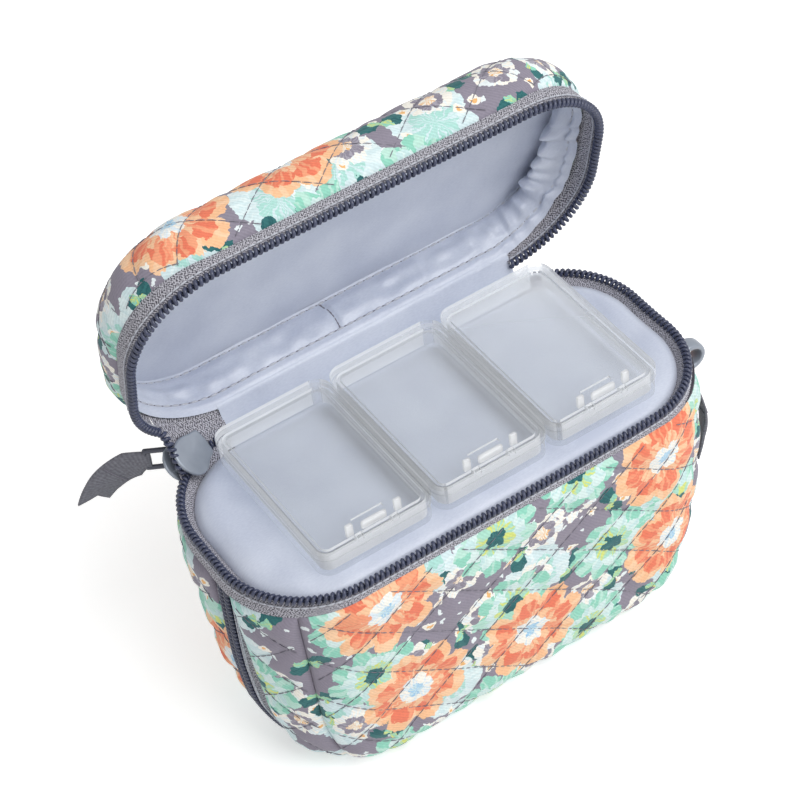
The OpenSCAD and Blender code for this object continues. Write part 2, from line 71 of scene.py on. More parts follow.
ARC = CORNER_R * math.pi / 2
loop_at = np.cumsum([0, CORE_X, ARC, 2 * CORE_Y, ARC, 2 * CORE_X, ARC, 2 * CORE_Y, ARC, CORE_X])
loop_x = CORE_X * np.array([0, 1, 1, 1, 1, -1, -1, -1, -1, 0])
loop_y = CORE_Y * np.array([-1, -1, -1, 1, 1, 1, 1, -1, -1, -1])
loop_turn = np.radians([270, 270, 360, 360, 450, 450, 540, 540, 630, 630])
LOOP = loop_at[-1]


def along(u):
    """The core point and the facing of a place along the rim, counted from the front's middle."""
    u = np.mod(u, LOOP)
    return [np.interp(u, loop_at, part) for part in (loop_x, loop_y, loop_turn)]


def hump(x, width):
    """A smooth hump, 1 in its middle and gone a few widths away."""
    return np.exp(-((x / width) ** 2))


def unit(v):
    """The same directions with a length of 1."""
    return v / np.linalg.norm(v, axis=-1, keepdims=True)


def run_length(line):
    """How far along a row of points each of them lies."""
    return np.concatenate([[0], np.cumsum(np.linalg.norm(np.diff(line, axis=0), axis=1))])


def flare(z):
    """How far the wall stands out past the corner's radius at a height."""
    return RIM_FLARE - TAPER * (1 - z / RIM_H)


bend = np.radians(np.linspace(-90, 0, BEND_ROWS))
wall_z = np.concatenate([BASE_R * (1 + np.sin(bend)), np.linspace(BASE_R, RIM_H, RISE_ROWS)[1:]])
wall_out = flare(wall_z) - np.concatenate([BASE_R * (1 - np.cos(bend)), np.zeros(RISE_ROWS - 1)])
wall_v = run_length(np.stack([wall_z, wall_out], -1))
wall_rise, wall_run = np.gradient(wall_z, wall_v), np.gradient(wall_out, wall_v)


def pulled(u, z):
    """How far the rim sags inward at the right end, where nothing holds it up once the lid is open."""
    away = np.mod(u, LOOP) - loop_at[2] - CORE_Y
    return DRAWN_IN * hump(away, DRAWN_W) * np.clip((z - DRAWN_FROM) / DRAWN_RISE, 0, 1) ** 1.3


def wall_point(u, v, lift):
    """A place on the wall: u along the rim, v up the cloth from the base, lift out of it."""
    cx, cy, turn = along(u)
    z, out, rise, run = (np.interp(v, wall_v, part) for part in (wall_z, wall_out, wall_rise, wall_run))
    tuck = END_TUCK * np.maximum(0, 1 - z / TUCK_H) ** 2
    r = CORNER_R + out + lift * rise - pulled(u, z)
    z = np.maximum(z - lift * run, LEAST_Z)
    return np.stack([cx * (1 - tuck / CORE_X) + r * np.cos(turn), cy + r * np.sin(turn), z], -1)


def sewn_edge(u):
    """Height of the wall's sewn edge, lower at the two ends."""
    return RIM_H - TAPE_SHOW - TAPE_DIP * np.abs(np.cos(along(u)[2]))


def wall_edge(u):
    """How far up the cloth that edge lies."""
    return np.interp(sewn_edge(u), wall_z, wall_v)


def quilting(a, b):
    """Rise of the wadding at a place on the cloth, nothing along the sewn lines."""
    rise = PUFF
    for way in (1, -1):
        line = (a * math.sin(QUILT_SLANT) + way * b * math.cos(QUILT_SLANT)) / QUILT_STEP
        rise = rise * (1 - hump((line - np.round(line)) * QUILT_STEP, QUILT_LINE))
    return rise


def padding(a, b, margin):
    """The same, flattened towards a seam that is a margin away."""
    return quilting(a, b) * (1 - hump(margin, SEAM_EASE))


def crumple(a, b, size, seed):
    """Soft unevenness of cloth, about -1 to 1, with waves of about that size."""
    rng = np.random.default_rng(seed)
    total = 0
    for _ in range(9):
        way, phase = rng.uniform(0, 2 * math.pi, 2)
        pace = 2 * math.pi / size * rng.uniform(0.6, 1.5)
        total = total + np.sin(pace * (a * math.cos(way) + b * math.sin(way)) + phase)
    return total / 5


def grid(a, b):
    """Two rows of values as a grid of places."""
    return np.meshgrid(a, b, indexing="ij")


def grid_faces(n, m, ring=False):
    """Quads of a grid of n by m points, closed along its first count where it is a ring."""
    return [
        (i * m + j, (i + 1) % n * m + j, (i + 1) % n * m + j + 1, i * m + j + 1)
        for i in range(n if ring else n - 1)
        for j in range(m - 1)
    ]


def make(name, points, faces, material, body, cloth=None):
    """A smooth mesh piece from points in millimetres that rides on a body, with its cloth map."""
    mesh = bpy.data.meshes.new(name)
    mesh.from_pydata((np.asarray(points).reshape(-1, 3) * MM).tolist(), [], faces)
    mesh.polygons.foreach_set("use_smooth", [True] * len(mesh.polygons))
    if cloth is not None:
        corners = np.empty(len(mesh.loops), np.int32)
        mesh.loops.foreach_get("vertex_index", corners)
        layer = mesh.uv_layers.new(name="cloth")
        layer.data.foreach_set("uv", np.asarray(cloth, np.float32).reshape(-1, 2)[corners].ravel())
    piece = bpy.data.objects.new(name, mesh)
    bpy.context.scene.collection.objects.link(piece)
    mesh.materials.append(material)
    if body:
        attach(piece, body)
    return piece


def linear(colour):
    """An sRGB hex colour as linear RGBA."""
    parts = [int(colour[i : i + 2], 16) / 255 for i in (1, 3, 5)]
    return (*[c / 12.92 if c <= 0.04045 else ((c + 0.055) / 1.055) ** 2.4 for c in parts], 1.0)


def plug(node, sockets):
    """Fills a node's sockets: each takes a value, another socket or a node's first one."""
    for key, value in sockets.items():
        source = value.outputs[0] if isinstance(value, bpy.types.Node) else value
        if isinstance(source, bpy.types.NodeSocket):
            node.id_data.links.new(source, node.inputs[key])
        else:
            node.inputs[key].default_value = source


def add(tree, kind, sockets=None, **settings):
    """Adds a node with its settings and fills its sockets."""
    node = tree.nodes.new("ShaderNode" + kind)
    for key, value in settings.items():
        setattr(node, key, value)
    plug(node, sockets or {})
    return node


def new_material(name):
    """A plain material and its node tree, with the shader that it ends in."""
    material = bpy.data.materials.new(name)
    material.use_nodes = True
    tree = material.node_tree
    return material, tree, tree.nodes["Principled BSDF"]


# Printed cotton twill: a matt cloth with a fine slanting rib. The print is a loose scatter of
# tiered rosettes, leaf pairs and specks on a purple-grey ground, with the ragged edges and streaky
# ink that screen printing leaves. The rib is drawn at 0.8 mm, coarser than real, so that it shows.
RIB_STEP, FADE_STEP, RAGGED_STEP, RAGGED_REACH = 0.8, 0.7143, 2.381, 2.8
DIAGONAL = 0.444  # scale of a diagonal wave whose bands are 1 mm apart
STREAKS, SCATTER_LOOSE = 5.5, 0.62
PETAL_ROUND, PETAL_WAIST, LEAF_POINT, LEAF_WAIST = 0.6, 0.72, 2.6, 0.04
GROUND, CREAM, FROST, SKY, MINT = "#8a8492", "#f4f0e6", "#e6eef0", "#cfe3e6", "#8fd0bb"
TEAL, LIME, APRICOT = "#1d5a5e", "#d3dc7a", "#eeb877"
twill, tree, cotton = new_material("printed cotton twill")
cloth_map = add(tree, "UVMap", uv_map="cloth")
ragged = add(tree, "TexNoise", {"Vector": cloth_map, "Scale": 1 / RAGGED_STEP, "Detail": 3.0},
             noise_dimensions="2D")
ragged = add(tree, "VectorMath", {0: ragged.outputs["Color"], 1: (0.5, 0.5, 0.5)}, operation="SUBTRACT")
ragged = add(tree, "VectorMath", {0: ragged, "Scale": RAGGED_REACH}, operation="SCALE")
drawn = add(tree, "VectorMath", {0: cloth_map, 1: ragged}, operation="ADD")
print_colour = linear(GROUND)
# Each scatter: spacing, share that is printed, shift, then tiers of reach, petals, turn, fill and
# streak. A tier with no petals is a speck, and one with -1 is a pair of leaves.
scatters = [
    (26.0, 0.70, (11, 52, 0), [(12.0, 4, 0, SKY, "#dcebec"), (7.0, 4, 0.3, "#a9d8cf", SKY)]),
    (4.9, 0.50, (3, 1, 0), [(0.75, 0, 0, FROST, FROST)]),
    (8.3, 0.40, (31, 17, 0), [(1.7, 3, 0, CREAM, CREAM), (0.7, 0, 0, APRICOT, APRICOT)]),
    (14.5, 0.66, (5, 40, 0), [(6.2, -1, 0, "#2c6a6c", TEAL), (3.4, -1, 0.2, MINT, LIME)]),
    (19.0, 0.66, (60, 8, 0), [
        (6.6, 6, 0, CREAM, FROST), (4.4, 6, 0.5, GROUND, "#a4a0ac"), (2.2, 6, 0.1, CREAM, APRICOT)]),
    (33.0, 0.74, (90, 25, 0), [
        (12.6, 9, 0, MINT, "#b9e0d2"), (9.2, 9, 0.4, "#d5e9e6", "#c3e0df"),
        (6.0, 9, 0, "#a6d7c4", LIME), (3.2, 5, 0.3, TEAL, "#2f7073")]),
    (47.0, 0.72, (14, 71, 0), [
        (16.4, 8, 0, "#f3be92", "#f5cba5"), (13.0, 8, 0, "#e77a5c", "#f0a07a"),
        (8.6, 8, 0.45, "#f3c39b", "#ee9a76"), (5.4, 6, 0, CREAM, "#d9e6ee"), (2.4, 6, 0.5, "#9cc7e6", SKY)]),
]
for spacing, share, shift, tiers in scatters:
    spot = add(tree, "VectorMath", {0: drawn, 1: shift}, operation="ADD")
    cells = add(tree, "TexVoronoi", {"Vector": spot, "Scale": 1 / spacing, "Randomness": SCATTER_LOOSE},
                voronoi_dimensions="2D")
    away = add(tree, "VectorMath", {0: spot, 1: cells.outputs["Position"]}, operation="SUBTRACT")
    reach = add(tree, "VectorMath", {0: away}, operation="LENGTH").outputs["Value"]
    sides = add(tree, "SeparateXYZ", {0: away})
    chance = add(tree, "SeparateColor", {0: cells.outputs["Color"]})
    shown = add(tree, "Math", {0: chance.outputs[1], 1: share}, operation="LESS_THAN")
    facing = add(tree, "Math", {0: sides.outputs[1], 1: sides.outputs[0]}, operation="ARCTAN2")
    facing = add(tree, "Math", {0: chance.outputs[0], 1: 2 * math.pi, 2: facing}, operation="MULTIPLY_ADD")
    streaks = add(tree, "CombineXYZ", {0: facing, 1: chance.outputs[2]})
    streaks = add(tree, "TexNoise", {"Vector": streaks, "Scale": STREAKS, "Detail": 1.0}, noise_dimensions="2D")
    brushed = add(tree, "MapRange", {0: streaks, 1: 0.5, 2: 0.58})
    for size, petals, turn, fill, streak in tiers:
        edge = size
        if petals:
            shape, waist = (LEAF_POINT, LEAF_WAIST) if petals < 0 else (PETAL_ROUND, PETAL_WAIST)
            wave = add(tree, "Math", {0: facing, 1: max(petals, 2) / 2, 2: turn * 3}, operation="MULTIPLY_ADD")
            wave = add(tree, "Math", {0: wave}, operation="SINE")
            wave = add(tree, "Math", {0: wave}, operation="ABSOLUTE")
            wave = add(tree, "Math", {0: wave, 1: shape}, operation="POWER")
            edge = add(tree, "Math", {0: wave, 1: size * (1 - waist), 2: size * waist}, operation="MULTIPLY_ADD")
        part = add(tree, "Math", {0: reach, 1: edge}, operation="DIVIDE")
        inside = add(tree, "Math", {0: part, 1: 1.0}, operation="LESS_THAN")
        inside = add(tree, "Math", {0: inside, 1: shown}, operation="MULTIPLY")
        ink = add(tree, "Mix", {0: brushed, 6: linear(fill), 7: linear(streak)}, data_type="RGBA").outputs[2]
        print_colour = add(tree, "Mix", {0: inside, 6: print_colour, 7: ink}, data_type="RGBA").outputs[2]
rib = add(tree, "TexWave", {"Vector": cloth_map, "Scale": DIAGONAL / RIB_STEP, "Distortion": 0.8, "Detail": 1.0},
          bands_direction="DIAGONAL").outputs["Fac"]
fade = add(tree, "TexNoise", {"Vector": cloth_map, "Scale": 1 / FADE_STEP, "Detail": 4.0}, noise_dimensions="2D")
shade = add(tree, "Math", {0: rib, 1: 0.10, 2: 0.82}, operation="MULTIPLY_ADD")
shade = add(tree, "Math", {0: fade, 1: 0.26, 2: shade}, operation="MULTIPLY_ADD")
inked = add(tree, "VectorMath", {0: print_colour, "Scale": shade}, operation="SCALE")
ribbed = add(tree, "Bump", {"Strength": 0.3, "Distance": 0.12 * MM, "Height": rib})
plug(cotton, {"Base Color": inked, "Normal": ribbed, "Roughness": 0.86, "Sheen Weight": 0.1})


def mottled(name, patch, detail, dark, light, rough, rough_to=None, metallic=0.0):
    """A material that wanders between two colours in patches of a size, and in gloss where asked."""
    material, tree, shader = new_material(name)
    where = add(tree, "TexCoord").outputs["Object"]
    patches = add(tree, "TexNoise", {"Vector": where, "Scale": 1 / (patch * MM), "Detail": detail})
    tone = add(tree, "Mix", {0: patches, 6: linear(dark), 7: linear(light)}, data_type="RGBA")
    if rough_to:
        rough = add(tree, "MapRange", {0: patches, 1: 0.3, 2: 0.7, 3: rough, 4: rough_to})
    plug(shader, {"Base Color": tone.outputs[2], "Roughness": rough, "Metallic": metallic})
    return material


# Spun polyester sewing thread: dull, with a fine twist that breaks its shade.
THREAD_R, STITCH_L, STITCH_STEP = 0.13, 2.4, 2.7
STITCH_RISE, STITCH_PLUMP = np.array([0.05, 0.13, 0.16, 0.13, 0.05]), np.array([0.6, 1, 1.05, 1, 0.6])
STITCH_POINTS = len(STITCH_RISE)
quilt_thread = mottled("dark sewing thread", 0.9, 2.0, "#65626d", "#8a8792", 0.7)


def tubes(paths, outward, radius, sides=6):
    """Round tubes along rows of points, each row one tube; radius may change along the row."""
    paths = np.asarray(paths, float)
    k, n, _ = paths.shape
    ahead = unit(np.gradient(paths, axis=1))
    up = unit(outward - (outward * ahead).sum(-1, keepdims=True) * ahead)
    across = np.cross(ahead, up)
    turn = np.linspace(0, 2 * math.pi, sides, endpoint=False)
    size = np.broadcast_to(radius, (n,))[None, :, None, None]
    ring = up[:, :, None] * np.cos(turn)[:, None] + across[:, :, None] * np.sin(turn)[:, None]
    points = paths[:, :, None] + ring * size
    faces = []
    for i in range(k):
        first = i * n * sides
        for j in range(n - 1):
            for s in range(sides):
                a, b = first + j * sides + s, first + j * sides + (s + 1) % sides
                faces.append((a, b, b + sides, a + sides))
        faces.append(tuple(range(first + sides - 1, first - 1, -1)))
        faces.append(tuple(range(first + (n - 1) * sides, first + n * sides)))
    return points.reshape(-1, 3), faces


def stitches(name, place, a, b, material, body, thick=THREAD_R):
    """Sewn stitches: each row of a and b is one stitch on the cloth, whose ends dive into it."""
    on = place(a, b, np.zeros_like(a))
    normal = unit(place(a, b, np.ones_like(a)) - on)
    points, faces = tubes(on + normal * STITCH_RISE[:, None], normal, thick * STITCH_PLUMP, 5)
    return make(name, points, faces, material, body)


def stitch_row(first, length):
    """Places along stitches of one length, from where each starts."""
    return first[:, None] + np.linspace(0, length, STITCH_POINTS)


def quilt_lines():
    """Stitches along both sets of quilting lines, as places on the cloth."""
    t = stitch_row(np.arange(-QUILT_REACH, QUILT_REACH, STITCH_STEP), STITCH_L)
    k = (np.arange(-QUILT_LINES, QUILT_LINES + 1) * QUILT_STEP)[:, None, None]
    a = (k * math.sin(QUILT_SLANT) + t * math.cos(QUILT_SLANT)).reshape(-1, STITCH_POINTS)
    b = (k * math.cos(QUILT_SLANT) - t * math.sin(QUILT_SLANT)).reshape(-1, STITCH_POINTS)
    return np.concatenate([a, a]), np.concatenate([b, -b])


def turned_in(columns, rows, first):
    """The border of a grid of points, and the faces of the fold that hangs from it."""
    border = [i * rows for i in range(columns)] + [(columns - 1) * rows + j for j in range(1, rows)]
    border += [i * rows + rows - 1 for i in range(columns - 2, -1, -1)] + list(range(rows - 2, 0, -1))
    pairs = list(enumerate(border))
    after = pairs[1:] + pairs[:1]
    return border, [(b, a, first + i, first + j) for (i, a), (j, b) in zip(pairs, after)]


def quilted_piece(name, node, body, points, under, cloth):
    """A padded piece from a grid of places, whose border turns in to the places under it."""
    columns, rows = points.shape[:2]
    border, fold = turned_in(columns, rows, columns * rows)
    points, under, cloth = points.reshape(-1, 3), under.reshape(-1, 3), cloth.reshape(-1, 2)
    piece = make(name, np.concatenate([points, under[border]]), grid_faces(columns, rows) + fold, twill, body,
                 np.concatenate([cloth, cloth[border]]))
    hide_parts(node)


def wall_panel(name, node, body, left, right, columns, middle=0.0):
    """One cut piece of the wall between two edges, with its turned-in border and its stitches."""
    s, t = grid(np.linspace(0, 1, columns), np.linspace(0, 1, WALL_ROWS))
    v = t * wall_v[-1]
    for _ in range(4):  # a leaning edge and the sewn edge settle together
        out = np.interp(v, wall_v, wall_out)
        low, high = left(out), right(out)
        u = low + (high - low) * s
        v = t * wall_edge(u + middle)
    margin = np.minimum(np.minimum(u - low, high - u), wall_edge(u + middle) - v)
    lift = padding(u, v, margin) - SEAM_SINK * hump(margin, SEAM_W)
    lift = lift + WALL_CRUMPLE * crumple(u, v, size=9, seed=3) * np.clip(margin / CRUMPLE_EASE, 0, 1)
    quilted_piece(name, node, body, wall_point(u + middle, v, lift), wall_point(u + middle, v, -WALL_FOLD),
                  np.stack([u + middle, v], -1))
    a, b = quilt_lines()
    out = np.interp(b, wall_v, wall_out)
    keep = (a > left(out) + SIDE_CLEAR) & (a < right(out) - SIDE_CLEAR)
    keep = (keep & (b > FOOT_CLEAR) & (b < wall_edge(a + middle) - TOP_CLEAR)).all(1)
    sewn = stitches(name + "_stitches", lambda a, b, lift: wall_point(a + middle, b, lift), a[keep], b[keep],
                    quilt_thread, body)


def straight(u):
    """An edge that runs straight down the cloth."""
    return lambda out: u + 0 * out


def front_slot(out):
    """The edge of the front pieces along the lower zip's slot."""
    return CORE_X + ARC - CORNER_R * np.arcsin((-SLOT_FRONT - CORE_Y) / (CORNER_R + out))


seam = CORE_X + ARC * (90 - SEAM_TURN) / 90
beside = seam + SEAM_GAP
back_slot = CORE_X + ARC + CORE_Y - SLOT_BACK
wall_panel("front_wall", "front_panel", "front_flap", straight(-seam), straight(seam), 92)
wall_panel("front_end_right", "front_gusset_right", "front_flap", straight(beside), front_slot, 18)
wall_panel("front_end_left", "front_gusset_left", "front_flap", lambda out: -front_slot(out),
           straight(-beside), 18)
wall_panel("back_wall", "back_panel", "case", straight(-seam), straight(seam), 92, LOOP / 2)
wall_panel("back_end_left", "back_gusset_left", "case", straight(beside), straight(back_slot), 24, LOOP / 2)
wall_panel("back_end_right", "back_gusset_right", "case", straight(-back_slot), straight(-beside), 24, LOOP / 2)


# Base. Two flat pieces of the same quilted cloth, one sewn to the front walls and one to the
# back walls, with the lower zip between them. The case stands on them.
BASE_OUT, BASE_ROWS, BASE_COLUMNS = flare(0) - BASE_R - 0.2, 26, 84
BASE_Z, BASE_RELIEF, BASE_SEAM, BASE_PRINT_AT = 0.02, 0.6, 0.4, -60


def base_piece(name, node, body, near, far):
    """A flat quilted piece between two lines of y, inside the walls' turned edge."""
    q, s = grid(np.linspace(near, far, BASE_ROWS), np.linspace(-1, 1, BASE_COLUMNS))
    r = CORNER_R + BASE_OUT
    beyond = np.clip(np.abs(q) - CORE_Y, 0, r - 0.01)
    x = s * (CORE_X - END_TUCK + np.sqrt(r * r - beyond**2))
    margin = np.minimum(np.minimum(np.abs(q - near), np.abs(far - q)), (1 - np.abs(s)) * CORE_X)
    sink = PUFF - padding(x, q, margin) + BASE_SEAM * hump(margin, SEAM_W)
    points = np.stack([x, q, BASE_Z + BASE_RELIEF * sink], -1)
    quilted_piece(name, node, body, points, points + [0, 0, WALL_FOLD], np.stack([x, q + BASE_PRINT_AT], -1))


base_reach = CORE_Y + CORNER_R + BASE_OUT
base_piece("front_base_cloth", "front_base", "front_flap", -base_reach, SLOT_FRONT)
base_piece("back_base_cloth", "back_base", "case", SLOT_BACK, base_reach)


# Lid. A deep cap of the same quilted cloth over soft padding: a crown that is domed a little,
# turned over a round edge into a short wall, which is sewn to the upper zip tape.
LID_Z, LID_DEPTH, LID_FLARE, LID_ROUND, LID_CROWN, LID_PLUMP = 82.4, 23.3, 0.6, 12.0, 1.6, 0.6
HINGE_Y, HINGE_Z, LID_OPEN = 34.3, 82.4, math.radians(75)
FRONT_LIFT, LID_CRUMPLE, LID_CLEAR, LID_PRINT_AT = 0.8, 0.15, 0.7, 200
LID_COLUMNS, CROWN_ROWS, LID_WALL_ROWS = 252, 26, 27
crown_r = CORNER_R + LID_FLARE - LID_ROUND
crown_z = LID_Z + LID_DEPTH
round_l = LID_ROUND * math.pi / 2


def around(u, r, z):
    """The point at a place along the rim, at a radius from the core and at a height."""
    cx, cy, turn = along(u)
    return np.stack([cx + r * np.cos(turn), cy + r * np.sin(turn), z + 0 * cx], -1)


def opened(points):
    """Points of the shut lid, moved to where the lid stands open."""
    x, y, z = np.moveaxis(np.asarray(points, float), -1, 0)
    y, z = y - HINGE_Y, z - HINGE_Z
    c, s = math.cos(LID_OPEN), math.sin(LID_OPEN)
    return np.stack([x, HINGE_Y + y * c + z * s, HINGE_Z - y * s + z * c], -1)


def domed_faces(n, m):
    """Faces of n spokes of m points each, shut in the middle."""
    return [tuple(reversed(face)) for face in grid_faces(n, m, ring=True)] + [tuple(range(0, n * m, m))]


def off_core(p, q):
    """How far a place lies outside the core, along x and along y."""
    return p - np.clip(p, -CORE_X, CORE_X), q - np.clip(q, -CORE_Y, CORE_Y)


def lid_point(p, q, lift):
    """A place on the lid from the cloth laid flat: its middle is the crown's middle."""
    px, qy = off_core(p, q)
    d = np.maximum(np.hypot(px, qy), 1e-9)
    past = d - crown_r
    turn = np.clip(past / LID_ROUND, 0, math.pi / 2)
    r = np.where(past < 0, d, crown_r + LID_ROUND * np.sin(turn)) + lift * np.sin(turn)
    dome = LID_CROWN * (1 - np.clip(d / crown_r, 0, 1) ** 2)
    z = crown_z + dome - LID_ROUND * (1 - np.cos(turn)) - np.maximum(past - round_l, 0) + lift * np.cos(turn)
    return opened(np.stack([p - px + px / d * r, q - qy + qy / d * r, z], -1))


def lid_foot(turn):
    """Height of the lid's sewn edge: it lies higher along the front and at the ends."""
    return LID_Z + TAPE_SHOW + FRONT_LIFT * (1 - np.sin(turn)) + TAPE_DIP * np.abs(np.cos(turn))


def lid_drop(turn):
    """How far the cloth reaches past the crown's edge, down to the lid's sewn edge."""
    return round_l + crown_z - LID_ROUND - lid_foot(turn)


u = np.linspace(0, LOOP, LID_COLUMNS, endpoint=False)
drop = lid_drop(along(u)[2])
rings = [f * around(u, crown_r, 0) for f in np.linspace(0.03, 1, CROWN_ROWS)]
rings += [around(u, crown_r + f * drop, 0) for f in np.linspace(0, 1, LID_WALL_ROWS)[1:]]
p, q, _ = np.moveaxis(np.stack(rings, 1), -1, 0)
margin = drop[:, None] - (np.hypot(*off_core(p, q)) - crown_r)
lift = LID_PLUMP * padding(p, q, margin) - SEAM_SINK * hump(margin, SEAM_W)
lift = lift + LID_CRUMPLE * crumple(p, q, size=11, seed=5) * np.clip(margin / CRUMPLE_EASE, 0, 1)
p, q = (np.concatenate([part, part[:, -1:]], 1) for part in (p, q))
lift = np.concatenate([lift, np.full((LID_COLUMNS, 1), -WALL_FOLD)], 1)
lid_cloth = make("lid_cloth", lid_point(p, q, lift), domed_faces(*p.shape), twill, "lid",
                 np.stack([p, q + LID_PRINT_AT], -1))
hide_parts("lid_shell")
a, b = quilt_lines()
px, qy = off_core(a, b)
keep = (np.hypot(px, qy) - crown_r < lid_drop(np.arctan2(qy, px)) - LID_CLEAR).all(1)
stitches("lid_stitches", lid_point, a[keep], b[keep], quilt_thread, "lid")


# Zip tapes. Woven polyester ribbon with a fine herringbone: one runs round the rim of the case
# and one round the edge of the lid, sewn to the quilted cloth and carrying the coils. The weave
# makes a grey speckle; its picks are drawn at 0.75 mm, coarser than real, so that they show.
ZIP_START, LID_ZIP_START, ZIP_STOP, ZIP_STEP = 100.0, 138.12, 4.0, 1.5
TAPE_W, TAPE_ROWS, TAPE_LAP, TAPE_TUCK, COIL_LAP = 5.5, 9, 0.4, 1.0, 0.6
RIM_BOW, LID_BOW, FOLD_OUT, FOLD_IN, FOLD_TOP, FOLD_DROP = 0.25, 0.35, -0.3, 3.0, 78.3, 2.7
PICK_STEP, HERRINGBONE, FUZZ_STEP = 0.75, 0.8, 0.4348
tape, tree, weave = new_material("woven zip tape")
tape_map = add(tree, "UVMap", uv_map="cloth")
split = add(tree, "SeparateXYZ", {0: tape_map})
zigzag = add(tree, "Math", {0: split.outputs[1], 1: HERRINGBONE}, operation="PINGPONG")
slanted = add(tree, "Math", {0: split.outputs[0], 1: zigzag}, operation="ADD")
pick = add(tree, "Math", {0: slanted, 1: 2 * math.pi / PICK_STEP}, operation="MULTIPLY")
pick = add(tree, "Math", {0: pick}, operation="SINE")
fuzz = add(tree, "TexNoise", {"Vector": tape_map, "Scale": 1 / FUZZ_STEP, "Detail": 2.0}, noise_dimensions="2D")
height = add(tree, "Math", {0: pick, 1: 0.13, 2: fuzz}, operation="MULTIPLY_ADD")
tone = add(tree, "MapRange", {0: height, 1: 0.36, 2: 0.64})
tone = add(tree, "Mix", {0: tone, 6: linear("#403e48"), 7: linear("#c4c3cc")}, data_type="RGBA")
woven = add(tree, "Bump", {"Strength": 0.5, "Distance": 0.2 * MM, "Height": height})
plug(weave, {"Base Color": tone.outputs[2], "Normal": woven, "Roughness": 0.78})


def back_left(angle):
    """The place along the rim at an angle round the back left corner."""
    return loop_at[5] + ARC * (angle - 90) / 90


def zip_run(start):
    """Places along the rim from a zip's hinge end on the left, round the front, to the right."""
    left, right = back_left(start) - LOOP, loop_at[4] - ARC * ZIP_STOP / 90
    return np.linspace(left, right, int((right - left) / ZIP_STEP))


def rim_tape_point(u, w, lift):
    """A place on the case's zip tape: w is the share of the way from its sewn foot to its coil."""
    foot = sewn_edge(u)
    out = (flare(foot) - TAPE_TUCK) * (1 - w) + RIM_BOW * np.sin(math.pi * w) + lift - pulled(u, foot + 6 * w)
    return around(u, CORNER_R + out, foot - TAPE_LAP + (RIM_H - COIL_LAP - foot + TAPE_LAP) * w)


def rim_fold_point(u, w, lift):
    """The tape's inner side, turned down from the coil behind the platform."""
    return around(u, CORNER_R + FOLD_OUT - FOLD_IN * w - pulled(u, RIM_H), FOLD_TOP - FOLD_DROP * w**1.5)


def lid_tape_point(u, w, lift):
    """A place on the lid's zip tape, from its sewn foot to its coil."""
    foot = lid_foot(along(u)[2])
    out = (LID_FLARE - TAPE_TUCK) * (1 - w) + LID_BOW * np.sin(math.pi * w) + lift
    return opened(around(u, CORNER_R + out, foot + TAPE_LAP + (LID_Z + COIL_LAP - foot - TAPE_LAP) * w))


for name, node, body, start, place in (
    ("case_zip_tape", "rim_tape", "case", ZIP_START, rim_tape_point),
    ("case_zip_fold", "rim_tape", "case", ZIP_START, rim_fold_point),
    ("lid_zip_tape", "lid_tape", "lid", LID_ZIP_START, lid_tape_point),
):
    u, w = grid(zip_run(start), np.linspace(0, 1, TAPE_ROWS))
    piece = make(name, place(u, w, 0 * u), grid_faces(*u.shape), tape, body, np.stack([u, w * TAPE_W], -1))
    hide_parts(node)


# Zip coils. One nylon wire on each half, wound flat round the edge of the tape and held down by
# a paler chain stitch. The moulded wire is dark navy grey and a little glossy, the thread dull.
COIL_PITCH, COIL_WIRE, COIL_R, COIL_POINTS = 1.5, 0.54, 1.3, 10
CHAIN_STEP, CHAIN_L, CHAIN_R, CHAIN_OUT, CHAIN_AT = 2.1, 2.0, 0.26, 0.28, 0.76
nylon = mottled("moulded nylon coil", 2.5, 2.0, "#262b40", "#474d68", 0.2, 0.34)
pale_thread = mottled("pale chain-stitch thread", 0.8, 2.0, "#a3a5b1", "#d3d6de", 0.65)


def sampled(line, length, at):
    """Points of a line at lengths along it."""
    return np.stack([np.interp(at, length, part) for part in line.T], -1)


def wound(name, node, body, middle, across, up, wide, high, phase=0.0):
    """A wire wound along a line of points, with its half width and half height."""
    length = run_length(middle)
    at = np.linspace(0, length[-1], int(length[-1] / COIL_PITCH) * COIL_POINTS + 1)
    line, side, top = (sampled(part, length, at) for part in (middle, across, up))
    spin = 2 * math.pi * np.arange(len(at))[:, None] / COIL_POINTS + phase
    off = side * np.cos(spin) * (wide - COIL_WIRE) + top * np.sin(spin) * (high - COIL_WIRE)
    points, faces = tubes((line + off)[None], off[None], COIL_WIRE)
    piece = make(name, points, faces, nylon, body)
    if node:
        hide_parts(node)
    return piece


def chain_stitch(name, body, run, place, side):
    """The chain stitch along a coil, a row of short stitches on one face of the tape."""
    u = stitch_row(np.arange(run[0], run[-1] - CHAIN_STEP - 0.1, CHAIN_STEP), CHAIN_L)
    row = lambda a, b, lift: place(a, b, side * (CHAIN_OUT + lift))
    stitches(name, row, u, np.full_like(u, CHAIN_AT), pale_thread, body, CHAIN_R)


for name, node, body, start, z, place in (
    ("case_coil", "rim_coil", "case", ZIP_START, RIM_H, rim_tape_point),
    ("lid_coil_wire", "lid_coil", "lid", LID_ZIP_START, LID_Z, lid_tape_point),
):
    run = zip_run(start)
    r = CORNER_R - (pulled(run, z) if body == "case" else 0)
    coil = [around(run, r, z), around(run, r + 1, z), around(run, r, z + 1)]
    line, outer, tip = [opened(part) for part in coil] if body == "lid" else coil
    wound(name, node, body, line, outer - line, tip - line, COIL_R, COIL_R)
    for side, face in ((1, "outer"), (-1, "inner")):
        chain_stitch(f"{name}_{face}_stitch", body, run, place, side)


